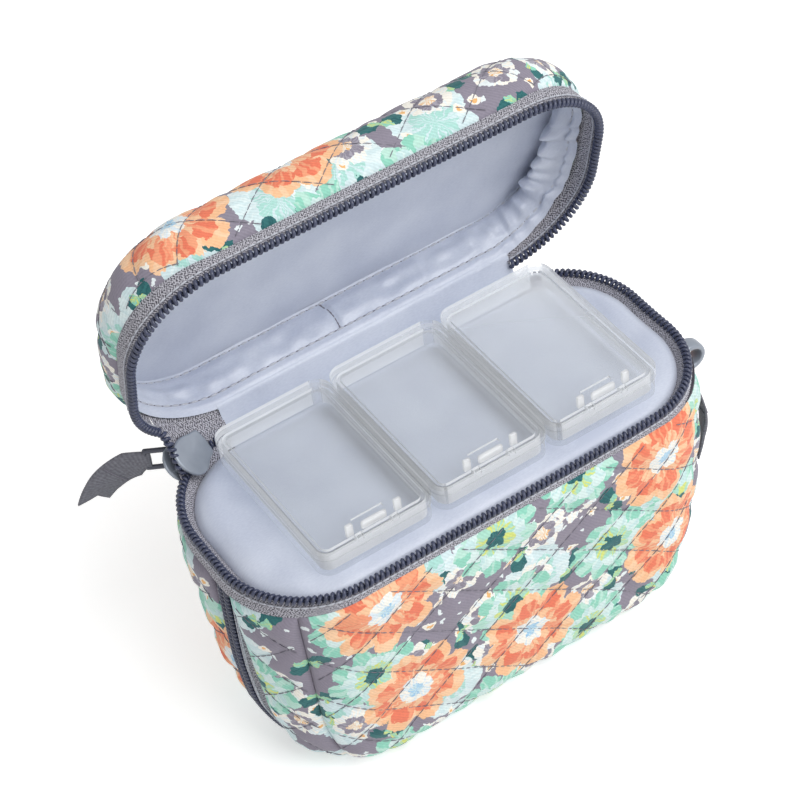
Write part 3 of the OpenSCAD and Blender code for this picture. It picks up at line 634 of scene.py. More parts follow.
# Lower zip. The same tape and coils, shut: it comes down the left end, crosses under the base
# and goes up the right end, so that the whole front swings up on the cloth above it.
LOW_ZIP_Y, LOW_COIL_W, LOW_COIL_T, LOW_COIL_IN = -5.2, 2.75, 1.75, 1.3
LOW_TOP, FRONT_TOP, LOW_RIDE, RIDE_FROM, RIDE_RISE = 72.2, 56.1, 1.6, 8.0, 18.0
LOW_TUCK, LOW_FLAT, LOW_LAP, LOW_PART = 1.8, 3.4, 1.2, 0.3
LOW_STEP, LOW_STITCH, LOW_THREAD, ROW_OUT = 2.3, 2.1, 0.22, 0.05
ROW_AT, ROW_STEP = LOW_COIL_W * 0.55, 0.85
LOW_ROWS, CLIMB_POINTS, FLOOR_POINTS = 7, 70, 60


def low_line(depth, right_top):
    """The lower zip's line in x and z, at a depth under the cloth, with its outward direction."""
    def climb(top, ride):
        v = np.linspace(0, np.interp(top, wall_z, wall_v), CLIMB_POINTS)
        up = ride * np.clip((np.interp(v, wall_v, wall_z) - RIDE_FROM) / RIDE_RISE, 0, 1)
        return wall_point(np.full_like(v, CORE_X + ARC + CORE_Y), v, up - depth)
    left, right = climb(LOW_TOP, LOW_RIDE) * [-1, 1, 1], climb(right_top, 0)
    floor = np.linspace(left[0], right[0], FLOOR_POINTS + 2)[1:-1]
    line = np.concatenate([left[::-1], floor, right])
    ahead = unit(np.gradient(line, axis=0))
    return line, np.stack([ahead[:, 2], 0 * ahead[:, 0], -ahead[:, 0]], -1)


for half, body, top, near, far, way in (
    ("back", "case", LOW_TOP, LOW_ZIP_Y + LOW_PART, SLOT_BACK + LOW_LAP, 1),
    ("front", "front_flap", FRONT_TOP, SLOT_FRONT - LOW_LAP, LOW_ZIP_Y - LOW_PART, -1),
):
    line, out = low_line(LOW_COIL_IN + 0.1, LOW_TOP)
    y = np.linspace(near, far, LOW_ROWS)
    tuck = LOW_TUCK * np.clip((np.abs(y - LOW_ZIP_Y) - LOW_FLAT) / LOW_TUCK, 0, 1)
    strip = line[:, None] - out[:, None] * tuck[:, None]
    strip[:, :, 1] = y
    cloth = np.stack(grid(run_length(line), y), -1)
    piece = make(f"low_tape_{half}", strip, grid_faces(len(line), LOW_ROWS), tape, body, cloth)
    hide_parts(f"low_zip_tape_{half}")
    line, out = low_line(LOW_COIL_T / 2 - 0.1, top)
    line[:, 1] = LOW_ZIP_Y + way * LOW_COIL_W / 2
    wound(f"low_coil_{half}_wire", f"low_zip_coil_{half}", body, line, np.tile([0.0, 1, 0], (len(line), 1)), out,
          LOW_COIL_W / 2, LOW_COIL_T / 2, math.pi * (way > 0))
    line, out = low_line(LOW_COIL_IN - 0.1, top)
    size = run_length(line)
    at = stitch_row(np.arange(0, size[-1] - LOW_STEP, LOW_STEP), LOW_STITCH)
    for share in (1.75, 3.1):
        row, facing = sampled(line, size, at), sampled(out, size, at)
        row[:, :, 1] = LOW_ZIP_Y + way * (ROW_AT + share * ROW_STEP)
        points, faces = tubes(row + facing * ROW_OUT, facing, LOW_THREAD, 5)
        make(f"low_stitch_{half}_{share:.0f}", points, faces, pale_thread, body)


# Satin lining. Pale blue-grey polyester satin lines the lower compartment: one piece on the
# front half and one on the back half, sewn in with the walls. Long floating threads give it a
# soft gloss with faint clouds; its weave is drawn at 0.3 by 1.1 mm, coarser than real.
LINING_IN, LINING_TOP, LINING_EDGE, LINING_CRUMPLE = 2.5, 73.2, 0.3, 0.25
LINING_COLUMNS, LINING_ROWS, FLOOR_ROWS = 120, 34, 10
THREAD_LONG, THREAD_WIDE, CLOUD = 1.1111, 0.33333, 20.0
satin, tree, sheen = new_material("pale blue-grey satin")
satin_map = add(tree, "UVMap", uv_map="cloth")
threads = add(tree, "Mapping", {"Vector": satin_map, "Scale": (1 / THREAD_LONG, 1 / THREAD_WIDE, 1.0)})
threads = add(tree, "TexNoise", {"Vector": threads, "Scale": 1.0, "Detail": 3.0}, noise_dimensions="2D")
clouds = add(tree, "TexNoise", {"Vector": satin_map, "Scale": 1 / CLOUD, "Detail": 2.0}, noise_dimensions="2D")
blend = add(tree, "Math", {0: threads, 1: 0.5, 2: clouds}, operation="MULTIPLY_ADD")
blend = add(tree, "MapRange", {0: blend, 1: 0.48, 2: 1.02})
tone = add(tree, "Mix", {0: blend, 6: linear("#b7bed0"), 7: linear("#cdd3e1")}, data_type="RGBA")
grain = add(tree, "Bump", {"Strength": 0.12, "Distance": 0.1 * MM, "Height": threads})
plug(sheen, {"Base Color": tone.outputs[2], "Normal": grain, "Roughness": 0.31, "Sheen Weight": 0.25})


for half, body, middle, slot_y, edge in (
    ("front", "front_flap", 0, SLOT_FRONT, CORE_X + ARC - (-SLOT_FRONT - CORE_Y)),
    ("back", "case", LOOP / 2, SLOT_BACK, back_slot),
):
    top = np.interp(LINING_TOP, wall_z, wall_v)
    u, v = grid(np.linspace(-edge + LINING_EDGE, edge - LINING_EDGE, LINING_COLUMNS),
                np.linspace(top, 0, LINING_ROWS))
    wall = wall_point(u + middle, v, -LINING_IN - LINING_CRUMPLE * (1 + crumple(u, v, size=16, seed=7)))
    foot = wall[:, -1:]
    share = np.linspace(0, 1, FLOOR_ROWS + 1)[1:, None]
    points = np.concatenate([wall, foot + share * (np.array([0, slot_y, 0]) - foot * [0, 1, 0])], 1)
    fall = np.concatenate([top - v, top + share[:, 0] * np.abs(slot_y - foot[:, :, 1])], 1)
    cloth = np.stack([np.repeat(u[:, :1], fall.shape[1], 1), fall], -1)
    piece = make(f"{half}_satin", points, grid_faces(*fall.shape), satin, body, cloth)
    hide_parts(f"{half}_lining")


# Platform. A stiff board shuts the lower compartment off; thin foam and satin cover it, drawn
# down round its edge, and the pill boxes lie on it.
PAD_TOP, PAD_OUT, PAD_ROUND, PAD_DROP, PAD_HEM, PAD_TURN = 78.4, -3.0, 6.5, 3.0, 0.4, 0.5
BOXES_X, BOXES_FRONT, BOXES_BACK, BOX_EASE = 52.2, -26.1, 28.6, 4.5
PAD_PUFF, PAD_CRUMPLE, PAD_LEVEL, PAD_UNDER = 0.75, 0.35, 3.2, 0.03
AROUND = 200
rim_places = np.linspace(0, LOOP, AROUND, endpoint=False)


def outward(u):
    """The way the rim faces at a place along it."""
    return around(u, 1, 0) - around(u, 0, 0)


def oval(rows):
    """Rings round the case's middle, each from a share of the oval, an outward offset and a height."""
    return np.stack([around(rim_places, CORNER_R + out, 0) * f + [0, 0, z] for f, out, z in rows], 1)


def coat(name, material):
    """Gives a solid of the frame its material."""
    solid = bpy.data.objects[name]
    solid.data.materials.clear()
    solid.data.materials.append(material)
    return solid


rows = [(f, PAD_OUT - PAD_ROUND, PAD_TOP) for f in np.linspace(0.04, 1, 24)]
rows += [(1, PAD_OUT - PAD_ROUND * (1 - math.sin(a)), PAD_TOP - PAD_DROP * (1 - math.cos(a)))
         for a in np.radians(np.linspace(8, 90, 12))]
rows += [(1, PAD_OUT - PAD_TURN, PAD_TOP - PAD_DROP - PAD_HEM)]
points = oval(rows)
inward = pulled(rim_places, PAD_TOP)[:, None] * np.clip(np.linspace(-1.5, 1, len(rows)), 0, 1)
points -= inward[..., None] * outward(rim_places)[:, None]
x, y, z = np.moveaxis(points, -1, 0)
boxes = np.maximum(np.maximum(np.abs(x) - BOXES_X, BOXES_FRONT - y), y - BOXES_BACK)
puff = 1 - hump(np.clip(boxes, 0, None), BOX_EASE)
level = (z - PAD_TOP + PAD_LEVEL) / PAD_LEVEL
points[..., 2] += puff * level * (PAD_PUFF + PAD_CRUMPLE * crumple(x, y, size=17, seed=11)) - PAD_UNDER
platform = make("platform_satin", points, domed_faces(AROUND, len(rows)), satin, "case", points[..., :2])
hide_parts("divider_lining")

# Grey pulp board, cut and left bare: dull, with a faint fibre. Its dark grey colour is painted shade, so that the
# strip of it seen between the pad's edge and the zip tape reads as a shadowed gap.
coat("divider_board", mottled("stiffening board dark as painted shade", 1.5, 4.0, "#33313a", "#45434d", 0.9))


# Lid lining. A flat satin ceiling and a satin band round the wall, gathered on to it and sewn
# with pale thread along the ceiling's edge and again just inside the zip tape. Short dashes of dark
# thread between the pale stitches are painted shade of the needle holes.
LID_WALL_IN, BAND_TOP, CEILING_Z, CEILING_OUT, CEILING_SAG = 1.95, 98.4, 98.6, -1.9, 0.25
LOW_ROW, HIGH_ROW, BAND_W, GATHER = 0.26, 0.95, 13.5, 1.12
BAND_COLUMNS, BAND_ROWS, BAND_MAP_W, BAND_STEP = 560, 27, 11, 3.0
BAND_MOST, HEM_OUT, HEM_W, BAND_HEM = 8.0, 1.1, 0.14, 0.9
JOIN_BOW, JOIN_W, JOIN_DEEP, JOIN_STITCHES = 1.6, 0.45, 0.9, 8
FULL, FULL_CRUMPLE, END_FULL, END_FULL_AT, END_FULL_W = 1.0, 0.6, 5.0, 8, 18
END_FOLDS, END_FOLDS_FROM, END_FOLDS_TO, OTHER_FOLDS = 12, -30, 38, 14
END_DEEP, END_DEEP_AT, END_DEEP_W, FOLD_SHARE = 1.5, 10, 22, 0.85
right_end, seam_u = loop_at[3], LOOP / 2 + 6


def join_at(t):
    """The place of the band's own seam, which runs a little aslant."""
    return seam_u - JOIN_BOW * np.sin(3 * t)


def band_bulge(u, t):
    """How far the gathered band stands in from the wall."""
    between = np.clip((t - LOW_ROW) / (HIGH_ROW - LOW_ROW), 0, 1)
    gathered = FULL + END_FULL * hump(u - right_end - END_FULL_AT, END_FULL_W)
    full = np.sin(math.pi * between) ** 0.7 * (gathered + FULL_CRUMPLE * crumple(u, 24 * t, size=11, seed=21))
    rng = np.random.default_rng(8)
    folds = 0
    end_folds = right_end + np.linspace(END_FOLDS_FROM, END_FOLDS_TO, END_FOLDS)
    for at in np.concatenate([end_folds, rng.uniform(0, LOOP, OTHER_FOLDS)]):
        lean, deep, wide = rng.uniform(-4, 4), rng.uniform(0.3, 0.8), rng.uniform(1.0, 2.2)
        deep = deep + END_DEEP * hump(at - right_end - END_DEEP_AT, END_DEEP_W)
        folds = folds + deep * hump(u - at - rng.uniform(-2, 2) - lean * (t - 0.5), wide)
    join = JOIN_DEEP * hump(u - join_at(t), JOIN_W)
    hold = np.clip(1 - 0.75 * hump(t - LOW_ROW, 0.05) - 0.75 * hump(t - HIGH_ROW, 0.04), 0, 1)
    return full + (FOLD_SHARE * folds * (0.35 + np.sin(math.pi * np.clip(t, 0, 1))) - join) * hold


def band_point(u, t, lift):
    """A place on the lid's wall lining: t goes from its lower edge to the ceiling."""
    edge = lid_foot(along(u)[2]) - BAND_HEM
    hem = HEM_OUT * np.clip(1 - t / HEM_W, 0, 1) - 0.7 * np.clip(t - HIGH_ROW, 0, 1) / 0.05
    r = CORNER_R - LID_WALL_IN - np.clip(band_bulge(u, t), -0.1, BAND_MOST) - lift + hem
    return opened(around(u, r, edge + t * (BAND_TOP - edge)))


u, t = grid(np.linspace(0, LOOP, BAND_COLUMNS, endpoint=False), np.linspace(0, 1, BAND_ROWS))
points = band_point(u, t, 0 * u)
faces = grid_faces(BAND_COLUMNS, BAND_ROWS, ring=True)
band = make("lid_band", points, faces, satin, "lid", np.stack([u, t * BAND_MAP_W], -1))
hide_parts("lid_wall_lining")
for share, name in ((LOW_ROW, "low"), (HIGH_ROW, "high")):
    # Each row: pale stitches, and between them short dark-thread dashes that are painted shade of the needle holes.
    for kind, start, length, thread, thick in (
        ("stitch", 1, 2.1, pale_thread, 0.32), ("hole_shade", 3.2, 0.7, quilt_thread, 0.15)
    ):
        a = stitch_row(np.arange(start, LOOP - 3, BAND_STEP), length)
        row = stitches(f"lid_band_{name}_{kind}", band_point, a, np.full_like(a, share), thread, "lid", thick)
t = stitch_row(np.linspace(LOW_ROW, HIGH_ROW, JOIN_STITCHES + 1)[:-1], (HIGH_ROW - LOW_ROW) / JOIN_STITCHES)
join = stitches("lid_band_seam", band_point, join_at(t), t, quilt_thread, "lid", 0.2)

rows = [(f, CEILING_OUT, CEILING_Z) for f in np.linspace(0.04, 1, 26)]
points = oval(rows)
x, y, _ = np.moveaxis(points, -1, 0)
points[..., 2] -= CEILING_SAG * (1 + crumple(x, y, size=30, seed=13))
ceiling = make("lid_ceiling_satin", opened(points), domed_faces(AROUND, len(rows)), satin, "lid", points[..., :2])
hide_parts("lid_ceiling")
r = CORNER_R + CEILING_OUT


# Hinge. Where the zip stops short, a strip of the printed cloth outside and one of satin inside
# join the back wall to the lid; they are drawn as they lie with the lid open. The satin tucks in behind the lid's
# band.
HINGE_LEFT, HINGE_RIGHT, HINGE_PRINT_AT = -CORE_X - 0.7, CORE_X + 2.6, 300
HINGE_COLUMNS, HINGE_ROWS = 90, 18
for name, node, path, bow, material, slot in (
    ("hinge_cloth", "hinge_strip", [(33.8, 75.3), (36.2, 85.2), (36.6, 86.0)], 0.7, twill, "quilted_cotton"),
    ("hinge_satin", "hinge_lining", [(30.2, 75.4), (36.1, 86.0), (37.9, 86.6)], 0.3, satin, "lining_satin"),
):
    way = run_length(np.array(path))
    x, t = grid(np.linspace(HINGE_LEFT, HINGE_RIGHT, HINGE_COLUMNS), np.linspace(0, way[-1], HINGE_ROWS))
    bulge = bow * np.sin(math.pi * t / way[-1]) * (1 + 0.3 * crumple(x, t, size=12, seed=17))
    y, z = (np.interp(t, way, part) for part in zip(*path))
    strip = make(name, np.stack([x, y + bulge, z], -1), grid_faces(HINGE_COLUMNS, HINGE_ROWS), material, None,
                 np.stack([x + HINGE_PRINT_AT, t], -1))
    low, high = ((0, p[0] * MM, p[1] * MM) for p in path[:2])
    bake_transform(strip)
    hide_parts(node)


# Zip end at the left of the hinge. The last stretch of the lid's tape and coil is still held by
# the slider, so it spans from the case to the lid; it is drawn as it lies with the lid open.
WEB_FROM, WEB_TO, WEB_SLACK, WEB_W, WEB_LIFT, WEB_FOOT = 91, 139, 0.9, 11, -0.6, 0.9
END_COIL_AT, END_COIL_Z, END_COIL_PULL = 131, 82.0, 12
u, t = grid(back_left(np.linspace(WEB_FROM, WEB_TO, 34)), np.linspace(0, 1, 14))
low, high = rim_tape_point(u, 0 * u + WEB_FOOT, 0 * u + WEB_LIFT), lid_tape_point(u, 0 * u, 0 * u)
slack = WEB_SLACK * np.sin(math.pi * t)[..., None] * outward(u)
points = low + (high - low) * t[..., None] - slack
web = make("zip_end_tape", points, grid_faces(*u.shape), tape, None, np.stack([u, WEB_W * t], -1))
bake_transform(web)

turn = math.radians(LID_ZIP_START)
first = around(back_left(END_COIL_AT), CORNER_R, END_COIL_Z)
last = opened(around(back_left(LID_ZIP_START), CORNER_R, LID_Z))
pull = END_COIL_PULL * np.array([-math.sin(turn), math.cos(turn), 0])
leave = opened(pull + [0, HINGE_Y, HINGE_Z]) - [0, HINGE_Y, HINGE_Z]
k = np.linspace(0, 1, 40)[:, None]
line = (2 * k**3 - 3 * k**2 + 1) * first + (k**3 - 2 * k**2 + k) * pull + (3 * k**2 - 2 * k**3) * last
line = line + (k**3 - k**2) * leave
ahead = np.gradient(line, axis=0)
side = unit(np.cross(ahead, [0.3, -0.5, 0.8]))
end_coil = wound("zip_end_coil", None, None, line, side, unit(np.cross(side, ahead)), COIL_R, COIL_R)
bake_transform(end_coil)


# Zip sliders. Die-cast zinc, enamelled grey: two smooth plates, wide and round where the coils
# part and narrow where they meet, joined by a post, with an arched crown that holds the pull.
# The stoved enamel is smooth and half glossy, with a slight ripple.
SLIDER_L, SLIDER_HALF, SLIDER_AT, LEAN = 11.8, 5.6, math.radians(122), math.radians(42)
PLATE_GAP, PLATE_T, CROWN_L, CROWN_HALF, CROWN_OUT, CROWN_SINK = 1.9, 1.0, 7.0, 1.3, 6.3, 0.3
POST_NEAR, POST_FAR, POST_HALF, POST_SINK = 2.4, 4.6, 0.9, 0.2
ZIP_MID, SLIDER_OUT, SLIDER_UP = 80.7, 0.8, 1.0
LOW_SLIDER_Z, LOW_HALF, LOW_OUT, LOW_OVER, LOW_UNDER = 62.0, 4.15, 0.15, 0.6, 2.0
LOW_CROWN_L, LOW_CROWN_HALF, LOW_CROWN_OUT, LOW_GAUGE = 8.5, 2.2, 8.2, 0.85
END_LEAN = math.atan(TAPER / RIM_H)
enamel = mottled("grey enamelled zinc", 3, 3.0, "#868d98", "#979ea9", 0.3, 0.44, metallic=0.25)


def capped_faces(n, m):
    """Faces of a ring of n by m points with both its ends shut."""
    ends = [tuple(range(0, n * m, m))[::-1], tuple(range(m - 1, n * m, m))]
    return grid_faces(n, m, ring=True) + ends


def squarish(sides, power):
    """Places round a square with eased corners, squarer the lower the power."""
    a = np.linspace(0, 2 * math.pi, sides, endpoint=False)
    return [np.sign(f) * np.abs(f) ** power for f in (np.cos(a), np.sin(a))]


def slider_plate(length, half, thick):
    """A bell-shaped plate's rings in its own frame: along the zip, across it and out, with its faces."""
    s = np.array([1.0, 0.97, 0.86, 0.66, 0.38, 0.05, -0.28, -0.52, -0.72, -0.88, -0.97, -1.0])
    w = np.array([0.0, 0.28, 0.58, 0.82, 0.97, 1.0, 0.9, 0.77, 0.72, 0.68, 0.5, 0.0])
    outline = np.stack([s, w], -1)
    way = run_length(outline)
    s, w = sampled(outline, way, np.linspace(0, way[-1], 30)).T
    s, w = np.concatenate([s, s[-2:0:-1]]) * length / 2, np.concatenate([w, -w[-2:0:-1]]) * half
    shell = [(0.02, 0.0), (0.92, 0.0), (0.98, 0.1), (1.0, 0.3), (1.0, 0.66), (0.97, 0.9), (0.91, 1.0),
             (0.02, 1.05)]
    points = np.stack([np.stack([k * s, k * w, h * thick + 0 * s], -1) for k, h in shell], 1)
    return points.reshape(-1, 3), capped_faces(len(s), len(shell))


def block(s, w, o, soft=0.25, sides=24):
    """A small block with eased edges, between pairs of places."""
    x, y = squarish(sides, 0.35)
    levels = [(o[0], 1.0), (o[0] + soft, 1.0), (o[1] - soft, 1.0), (o[1], 0.8)]
    points = [np.stack([(s[0] + s[1]) / 2 + k * x * (s[1] - s[0]) / 2,
                        (w[0] + w[1]) / 2 + k * y * (w[1] - w[0]) / 2, np.full(sides, at)], -1) for at, k in levels]
    return np.stack(points, 1).reshape(-1, 3), capped_faces(sides, len(levels))


def crown(foot, length, half, high, gauge=0.5, rows=25, sides=16):
    """The arched loop on a slider's outer plate: a flat strap bent into an arch."""
    a = np.linspace(0, math.pi, rows)
    path = np.stack([np.cos(a) * (length / 2 - 0.5), 0 * a, foot + (np.sin(a) ** 0.6) * (high - foot - 0.5)], -1)
    ahead = unit(np.gradient(path, axis=0))
    up = np.stack([-ahead[:, 2], 0 * a, ahead[:, 0]], -1)
    flat, thick = squarish(sides, 0.6)
    points = path[:, None] + up[:, None] * (thick * gauge)[:, None] + np.array([0, half, 0]) * flat[:, None]
    faces = [tuple(reversed(face)) for face in grid_faces(rows, sides)]
    faces += [(i * sides + sides - 1, i * sides, (i + 1) * sides, (i + 1) * sides + sides - 1)
              for i in range(rows - 1)]
    ends = [tuple(range(sides - 1, -1, -1)), tuple(range((rows - 1) * sides, rows * sides))]
    return points.reshape(-1, 3), faces + ends


def joined(parts):
    """Several small shells as one list of points and faces."""
    points, faces = [], []
    for part, sides in parts:
        first = sum(len(p) for p in points)
        points.append(part)
        faces += [tuple(first + i for i in face) for face in sides]
    return np.concatenate(points), faces


def slider(name, node, body, half, over, under, post, arch, place):
    """A slider: plates over and under the coils, a post between them and a crown, set on its zip."""
    plate, sides = slider_plate(SLIDER_L, half, PLATE_T)
    points, faces = joined([
        (plate + [0, 0, over], sides), (plate * [1, 1, -1] - [0, 0, under], sides),
        block(post, (-POST_HALF, POST_HALF), (-under - POST_SINK, over + POST_SINK)),
        crown(over + PLATE_T - CROWN_SINK, *arch),
    ])
    shell = make(name, place(*points.T), faces, enamel, body)
    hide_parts(node)


def round_corner(s, across, out):
    """The main slider's place, leaning back with the tape at the back left corner."""
    angle = SLIDER_AT + s / CORNER_R
    r = CORNER_R + SLIDER_OUT + out * math.cos(LEAN) + across * math.sin(LEAN)
    rise = ZIP_MID + SLIDER_UP + across * math.cos(LEAN) - out * math.sin(LEAN)
    return np.stack([-CORE_X + r * np.cos(angle), CORE_Y + r * np.sin(angle), rise], -1)


def down_end(s, across, out):
    """The lower slider's place, parked high on the right end."""
    out = out + LOW_OUT
    x = CORE_X + CORNER_R + flare(LOW_SLIDER_Z) + out * math.cos(END_LEAN) - s * math.sin(END_LEAN)
    return np.stack([x, LOW_ZIP_Y + across, LOW_SLIDER_Z - out * math.sin(END_LEAN) - s * math.cos(END_LEAN)], -1)


slider("main_slider_shell", "main_slider", "main_slider_body", SLIDER_HALF, PLATE_GAP, PLATE_GAP,
       (POST_NEAR, POST_FAR), (CROWN_L, CROWN_HALF, CROWN_OUT), round_corner)
slider("low_slider_shell", "low_slider", "low_slider_body", LOW_HALF, LOW_OVER, LOW_UNDER,
       (-POST_FAR, -POST_NEAR), (LOW_CROWN_L, LOW_CROWN_HALF, LOW_CROWN_OUT, LOW_GAUGE), down_end)

# Bent steel wire, plated dark: a metal with a soft shine and rubbed patches.
dark_metal = mottled("dark plated wire", 2, 3.0, "#3d3e46", "#565761", 0.36, metallic=0.7)
for name in ("main_pull_ring", "low_pull_ring"):
    ring = coat(name, dark_metal)


# Ribbon pulls. Grey grosgrain ribbon, doubled through the wire ring and sewn across, with its
# ends cut to a fish-tail. It is dull and ribbed across; the ribs are drawn at 0.9 mm.
RIBBON_W, RIBBON_T, RING_L, RING_LAP, NECK_L, NOTCH = 9.5, 1.5, 8.0, 1.2, 5.0, 3.0
RIBBON_ROWS, RIBBON_COLUMNS, SEAM_ROW, RIBBON_THREAD = 44, 17, 20, 0.18
RIBBON_RIB, FLUFF_STEP, RIPPLE, SEAM_OUT = 0.9, 0.7692, 0.15, 0.12
grosgrain, tree, ribbon = new_material("grey grosgrain ribbon")
ribbon_map = add(tree, "UVMap", uv_map="cloth")
split = add(tree, "SeparateXYZ", {0: ribbon_map})
ribs = add(tree, "Math", {0: split.outputs[0], 1: 2 * math.pi / RIBBON_RIB}, operation="MULTIPLY")
ribs = add(tree, "Math", {0: ribs}, operation="SINE")
fluff = add(tree, "TexNoise", {"Vector": ribbon_map, "Scale": 1 / FLUFF_STEP, "Detail": 3.0},
            noise_dimensions="2D")
height = add(tree, "Math", {0: ribs, 1: 0.12, 2: fluff}, operation="MULTIPLY_ADD")
tone = add(tree, "MapRange", {0: height, 1: 0.25, 2: 0.8})
tone = add(tree, "Mix", {0: tone, 6: linear("#5d5d66"), 7: linear("#7a7a83")}, data_type="RGBA")
ridged = add(tree, "Bump", {"Strength": 0.4, "Distance": 0.2 * MM, "Height": height})
plug(ribbon, {"Base Color": tone.outputs[2], "Normal": ridged, "Roughness": 0.75})


def ribbon_pull(name, node, body, start, ahead, across, length, droop, twist, bow):
    """A doubled ribbon from its ring: ahead is the way it sets out and across the way it is wide."""
    start, ahead, across = (np.array(v, float) for v in (start, ahead, across))
    out = np.cross(ahead, across)
    t, w = grid(np.linspace(0, 1, RIBBON_ROWS), np.linspace(-1, 1, RIBBON_COLUMNS))
    bend = droop * t[:, 0] ** 0.7
    step = (length + RING_LAP) / (RIBBON_ROWS - 1)
    going = np.cos(bend)[:, None] * ahead + np.sin(bend)[:, None] * np.array([0, 0, -1.0])
    line = start + ahead * (RING_L - RING_LAP) + np.concatenate([[[0, 0, 0]], np.cumsum(going[:-1] * step, axis=0)])
    line = line + out * (bow * np.sin(2.4 * t[:, :1]))
    spin = (twist * np.clip((t[:, 0] - 0.05) / 0.7, 0, 1) ** 1.2)[:, None]
    wide_way = across * np.cos(spin) + out * np.sin(spin)
    wide_way = unit(wide_way - (wide_way * going).sum(1, keepdims=True) * going)
    face_way = np.cross(going, wide_way)
    wide = RIBBON_W / 2 * np.clip(0.5 + 0.5 * np.minimum(1, t * length / NECK_L) ** 1.5, 0, 1)
    notch = -NOTCH * (1 - np.abs(w)) * np.clip((t - 0.6) / 0.4, 0, 1)
    layers = []
    for side in (1, -1):
        puff = side * RIBBON_T / 2 * (0.5 + 0.5 * np.cos(w * math.pi / 2)) + RIPPLE * np.sin(9 * t + 2 * side)
        layers.append(line[:, None] + wide_way[:, None] * (w * wide)[..., None]
                      + face_way[:, None] * puff[..., None] + going[:, None] * notch[..., None])
    count = t.size
    faces = grid_faces(*t.shape)
    border, _ = turned_in(*t.shape, 0)
    faces = faces + [tuple(count + i for i in reversed(face)) for face in faces]
    faces += [(b, a, count + a, count + b) for a, b in zip(border, border[1:] + border[:1])]
    cloth = np.stack([t * length, w * RIBBON_W / 2], -1)
    piece = make(name, np.stack(layers), faces, grosgrain, body, np.stack([cloth, cloth]))
    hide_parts(node)
    for layer, side, face in zip(layers, (1, -1), ("a", "b")):
        seam_line = layer[SEAM_ROW, 1:-1]
        normal = np.repeat(side * face_way[SEAM_ROW : SEAM_ROW + 1], len(seam_line), 0)
        points, sides = tubes((seam_line + normal * SEAM_OUT)[None], normal[None], RIBBON_THREAD, 5)
        make(f"{name}_seam_{face}", points, sides, quilt_thread, body)


PULL_AT = math.radians(149)
ribbon_pull("main_ribbon", "main_pull_tab", "main_pull", (-59.95, 32.28, ZIP_MID),
            (math.cos(PULL_AT), math.sin(PULL_AT), 0), (0, 0, 1), length=22.0,
            droop=math.radians(66), twist=math.radians(-14), bow=0.0)
ribbon_pull("low_ribbon", "low_pull_tab", "low_pull", (73.30, LOW_ZIP_Y, 61.80), (0, 0, -1), (0, 1, 0), length=30.0,
            droop=0.0, twist=math.radians(34), bow=6.2)


# Pill boxes. Three moulded boxes of milky clear polypropylene, each a tray and a lid with a
# pinned hinge along its front edge. They lie loose on the platform. The glossy plastic is nearly
# clear face on and turns milky where it is seen aslant.
EAR_X, EAR_HALF, EAR_BACK, EAR_D, EAR_H, EAR_SINK = 7.0, 1.0, 1.9, 1.1, 3.4, 0.2
BAR_HALF, BAR_H, PLATE_TOP = 3.6, 2.0, 86.8
BOX_EDGE, BOX_HAZE, SLANT_WHITE, SHADOW_LEFT = 0.35, 6, 0.82, 0.15
LET_THROUGH = (0.975, 0.98, 0.985, 1)  # share of red, green and blue light that passes a wall


def clear_plastic(name, least):
    """Clear plastic that whitens where it is seen aslant; least is how white it is face on."""
    material = mottled(name, BOX_HAZE, 3.0, "#f6f8fa", "#fdfdfe", 0.1)
    tree = material.node_tree
    slanting = add(tree, "LayerWeight", {"Blend": 0.26}).outputs["Fresnel"]
    solid = add(tree, "MapRange", {0: slanting, 3: least, 4: SLANT_WHITE})
    shadow = add(tree, "LightPath").outputs["Is Shadow Ray"]
    lit = add(tree, "MapRange", {0: shadow, 3: 1.0, 4: SHADOW_LEFT})
    solid = add(tree, "Math", {0: solid, 1: lit}, operation="MULTIPLY")
    through = add(tree, "BsdfTransparent", {"Color": LET_THROUGH})
    mixed = add(tree, "MixShader", {0: solid, 1: through, 2: tree.nodes["Principled BSDF"]})
    plug(tree.nodes["Material Output"], {"Surface": mixed})
    return material


clear = clear_plastic("milky clear polypropylene", 0.03)
thick = clear_plastic("thick clear polypropylene", 0.4)
for side in ("left", "middle", "right"):
    low, high = (np.array(corner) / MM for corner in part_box(f"box_lid_{side}"))
    x, near = (low[0] + high[0]) / 2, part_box(f"box_tray_{side}")[0][1] / MM + EAR_BACK
    ears, faces = joined([
        block((x + at - half, x + at + half), (near, near + EAR_D), (PLATE_TOP - EAR_SINK, PLATE_TOP + high))
        for at, half, high in ((-EAR_X, EAR_HALF, EAR_H), (EAR_X, EAR_HALF, EAR_H), (0, BAR_HALF, BAR_H))
    ])
    make(f"box_ears_{side}", ears, faces, thick, f"box_cover_{side}")
    for part in ("tray", "lid"):
        box = coat(f"box_{part}_{side}", clear)
        eased = box.modifiers.new("eased edges", "BEVEL")
        eased.width, eased.segments = BOX_EDGE * MM, 3
        eased.limit_method, eased.angle_limit = "ANGLE", math.radians(40)


# Stage. A white paper floor under soft even light, with the camera at the photograph's angle.
# The paper is matt; the camera sees it, and the sky, brighter than they light the case.
FLOOR_HALF, FLOOR_Z, FLOOR_GRAIN, FLOOR_SEEN = 4000, -0.1, 10 / 3, 0.42
SKY_LIGHT, SKY_SEEN = 0.5, 1.0


def when_seen(tree, unseen, seen):
    """One strength for light on the object, another for what the camera and its reflections see."""
    rays = add(tree, "LightPath").outputs
    either = add(tree, "Math", {0: rays["Is Camera Ray"], 1: rays["Is Glossy Ray"]}, operation="MAXIMUM")
    either = add(tree, "Math", {0: either, 1: rays["Is Transmission Ray"]}, operation="MAXIMUM")
    return add(tree, "MapRange", {0: either, 3: unseen, 4: seen})


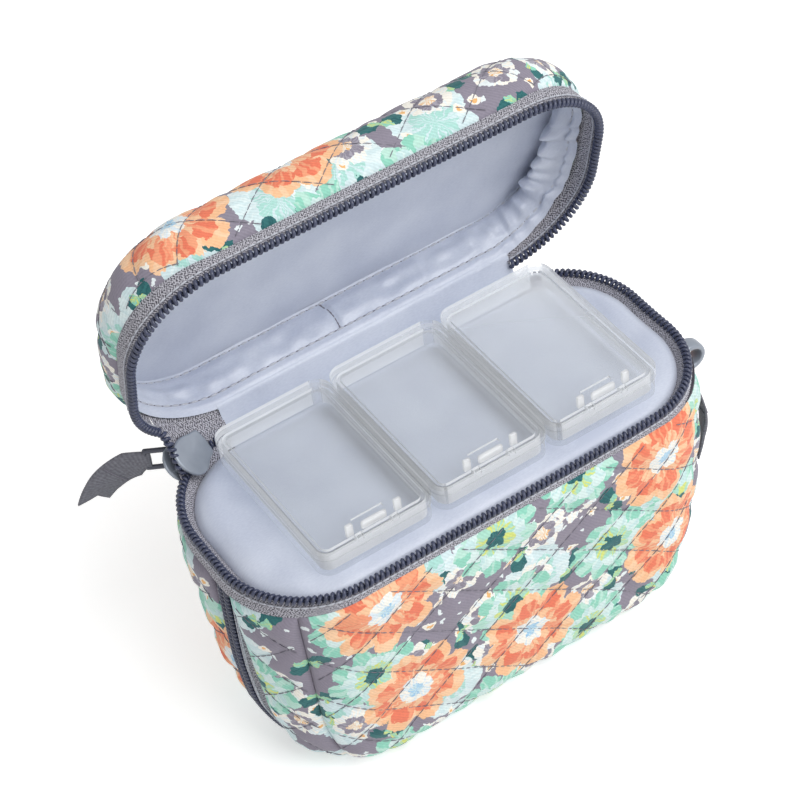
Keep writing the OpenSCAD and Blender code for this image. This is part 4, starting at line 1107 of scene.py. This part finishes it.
floor_white = mottled("white paper floor", FLOOR_GRAIN, 2.0, "#fafafa", "#fdfdfd", 0.9)
plug(floor_white.node_tree.nodes["Principled BSDF"], {
    "Emission Color": linear("#ffffff"), "Emission Strength": when_seen(floor_white.node_tree, 0.0, FLOOR_SEEN)})
corners = [(x * FLOOR_HALF, y * FLOOR_HALF, FLOOR_Z) for x, y in ((-1, -1), (1, -1), (1, 1), (-1, 1))]
floor = make("floor", corners, [(0, 1, 2, 3)], floor_white, None)

world = bpy.data.worlds.new("studio")
bpy.context.scene.world = world
world.use_nodes = True
plug(world.node_tree.nodes["Background"], {
    "Color": linear("#ffffff"), "Strength": when_seen(world.node_tree, SKY_LIGHT, SKY_SEEN)})


def placed(name, data, right, up, back, place):
    """A lamp or camera that looks along minus back, from a place in metres."""
    thing = bpy.data.objects.new(name, data)
    thing.matrix_world = Matrix([[right[i], up[i], back[i], place[i]] for i in range(3)] + [[0, 0, 0, 1]])
    bpy.context.scene.collection.objects.link(thing)
    return thing


KEY_AT, KEY_AIM, KEY_SIZE, KEY_POWER = np.array([0.28, -0.56, 0.98]), np.array([0, 0, 0.06]), 0.9, 9.7
light = bpy.data.lights.new("key", "AREA")
light.size, light.energy = KEY_SIZE, KEY_POWER
back = unit(KEY_AT - KEY_AIM)
right = unit(np.cross([0, 0, 1.0], back))
placed("key", light, right, np.cross(back, right), back, KEY_AT)

AZIMUTH, ELEVATION, ROLL = (math.radians(a) for a in (-27.5, 45.0, -8.24))
DISTANCE, SHIFT_X, SHIFT_Y = 0.7017, -0.0186, 0.0618
back = np.array([math.sin(AZIMUTH) * math.cos(ELEVATION), -math.cos(AZIMUTH) * math.cos(ELEVATION),
                 math.sin(ELEVATION)])
level = unit(np.cross(-back, [0, 0, 1.0]))
upright = np.cross(level, -back)
right = math.cos(ROLL) * level + math.sin(ROLL) * upright
up = -math.sin(ROLL) * level + math.cos(ROLL) * upright
lens = bpy.data.cameras.new("camera")
lens.sensor_width, lens.lens, lens.clip_start = 36.0, 113.4, 0.01
camera = placed("camera", lens, right, up, back, back * DISTANCE + SHIFT_X * right + SHIFT_Y * up)
bpy.context.scene.camera = camera
bpy.context.scene.view_settings.view_transform = "Standard"
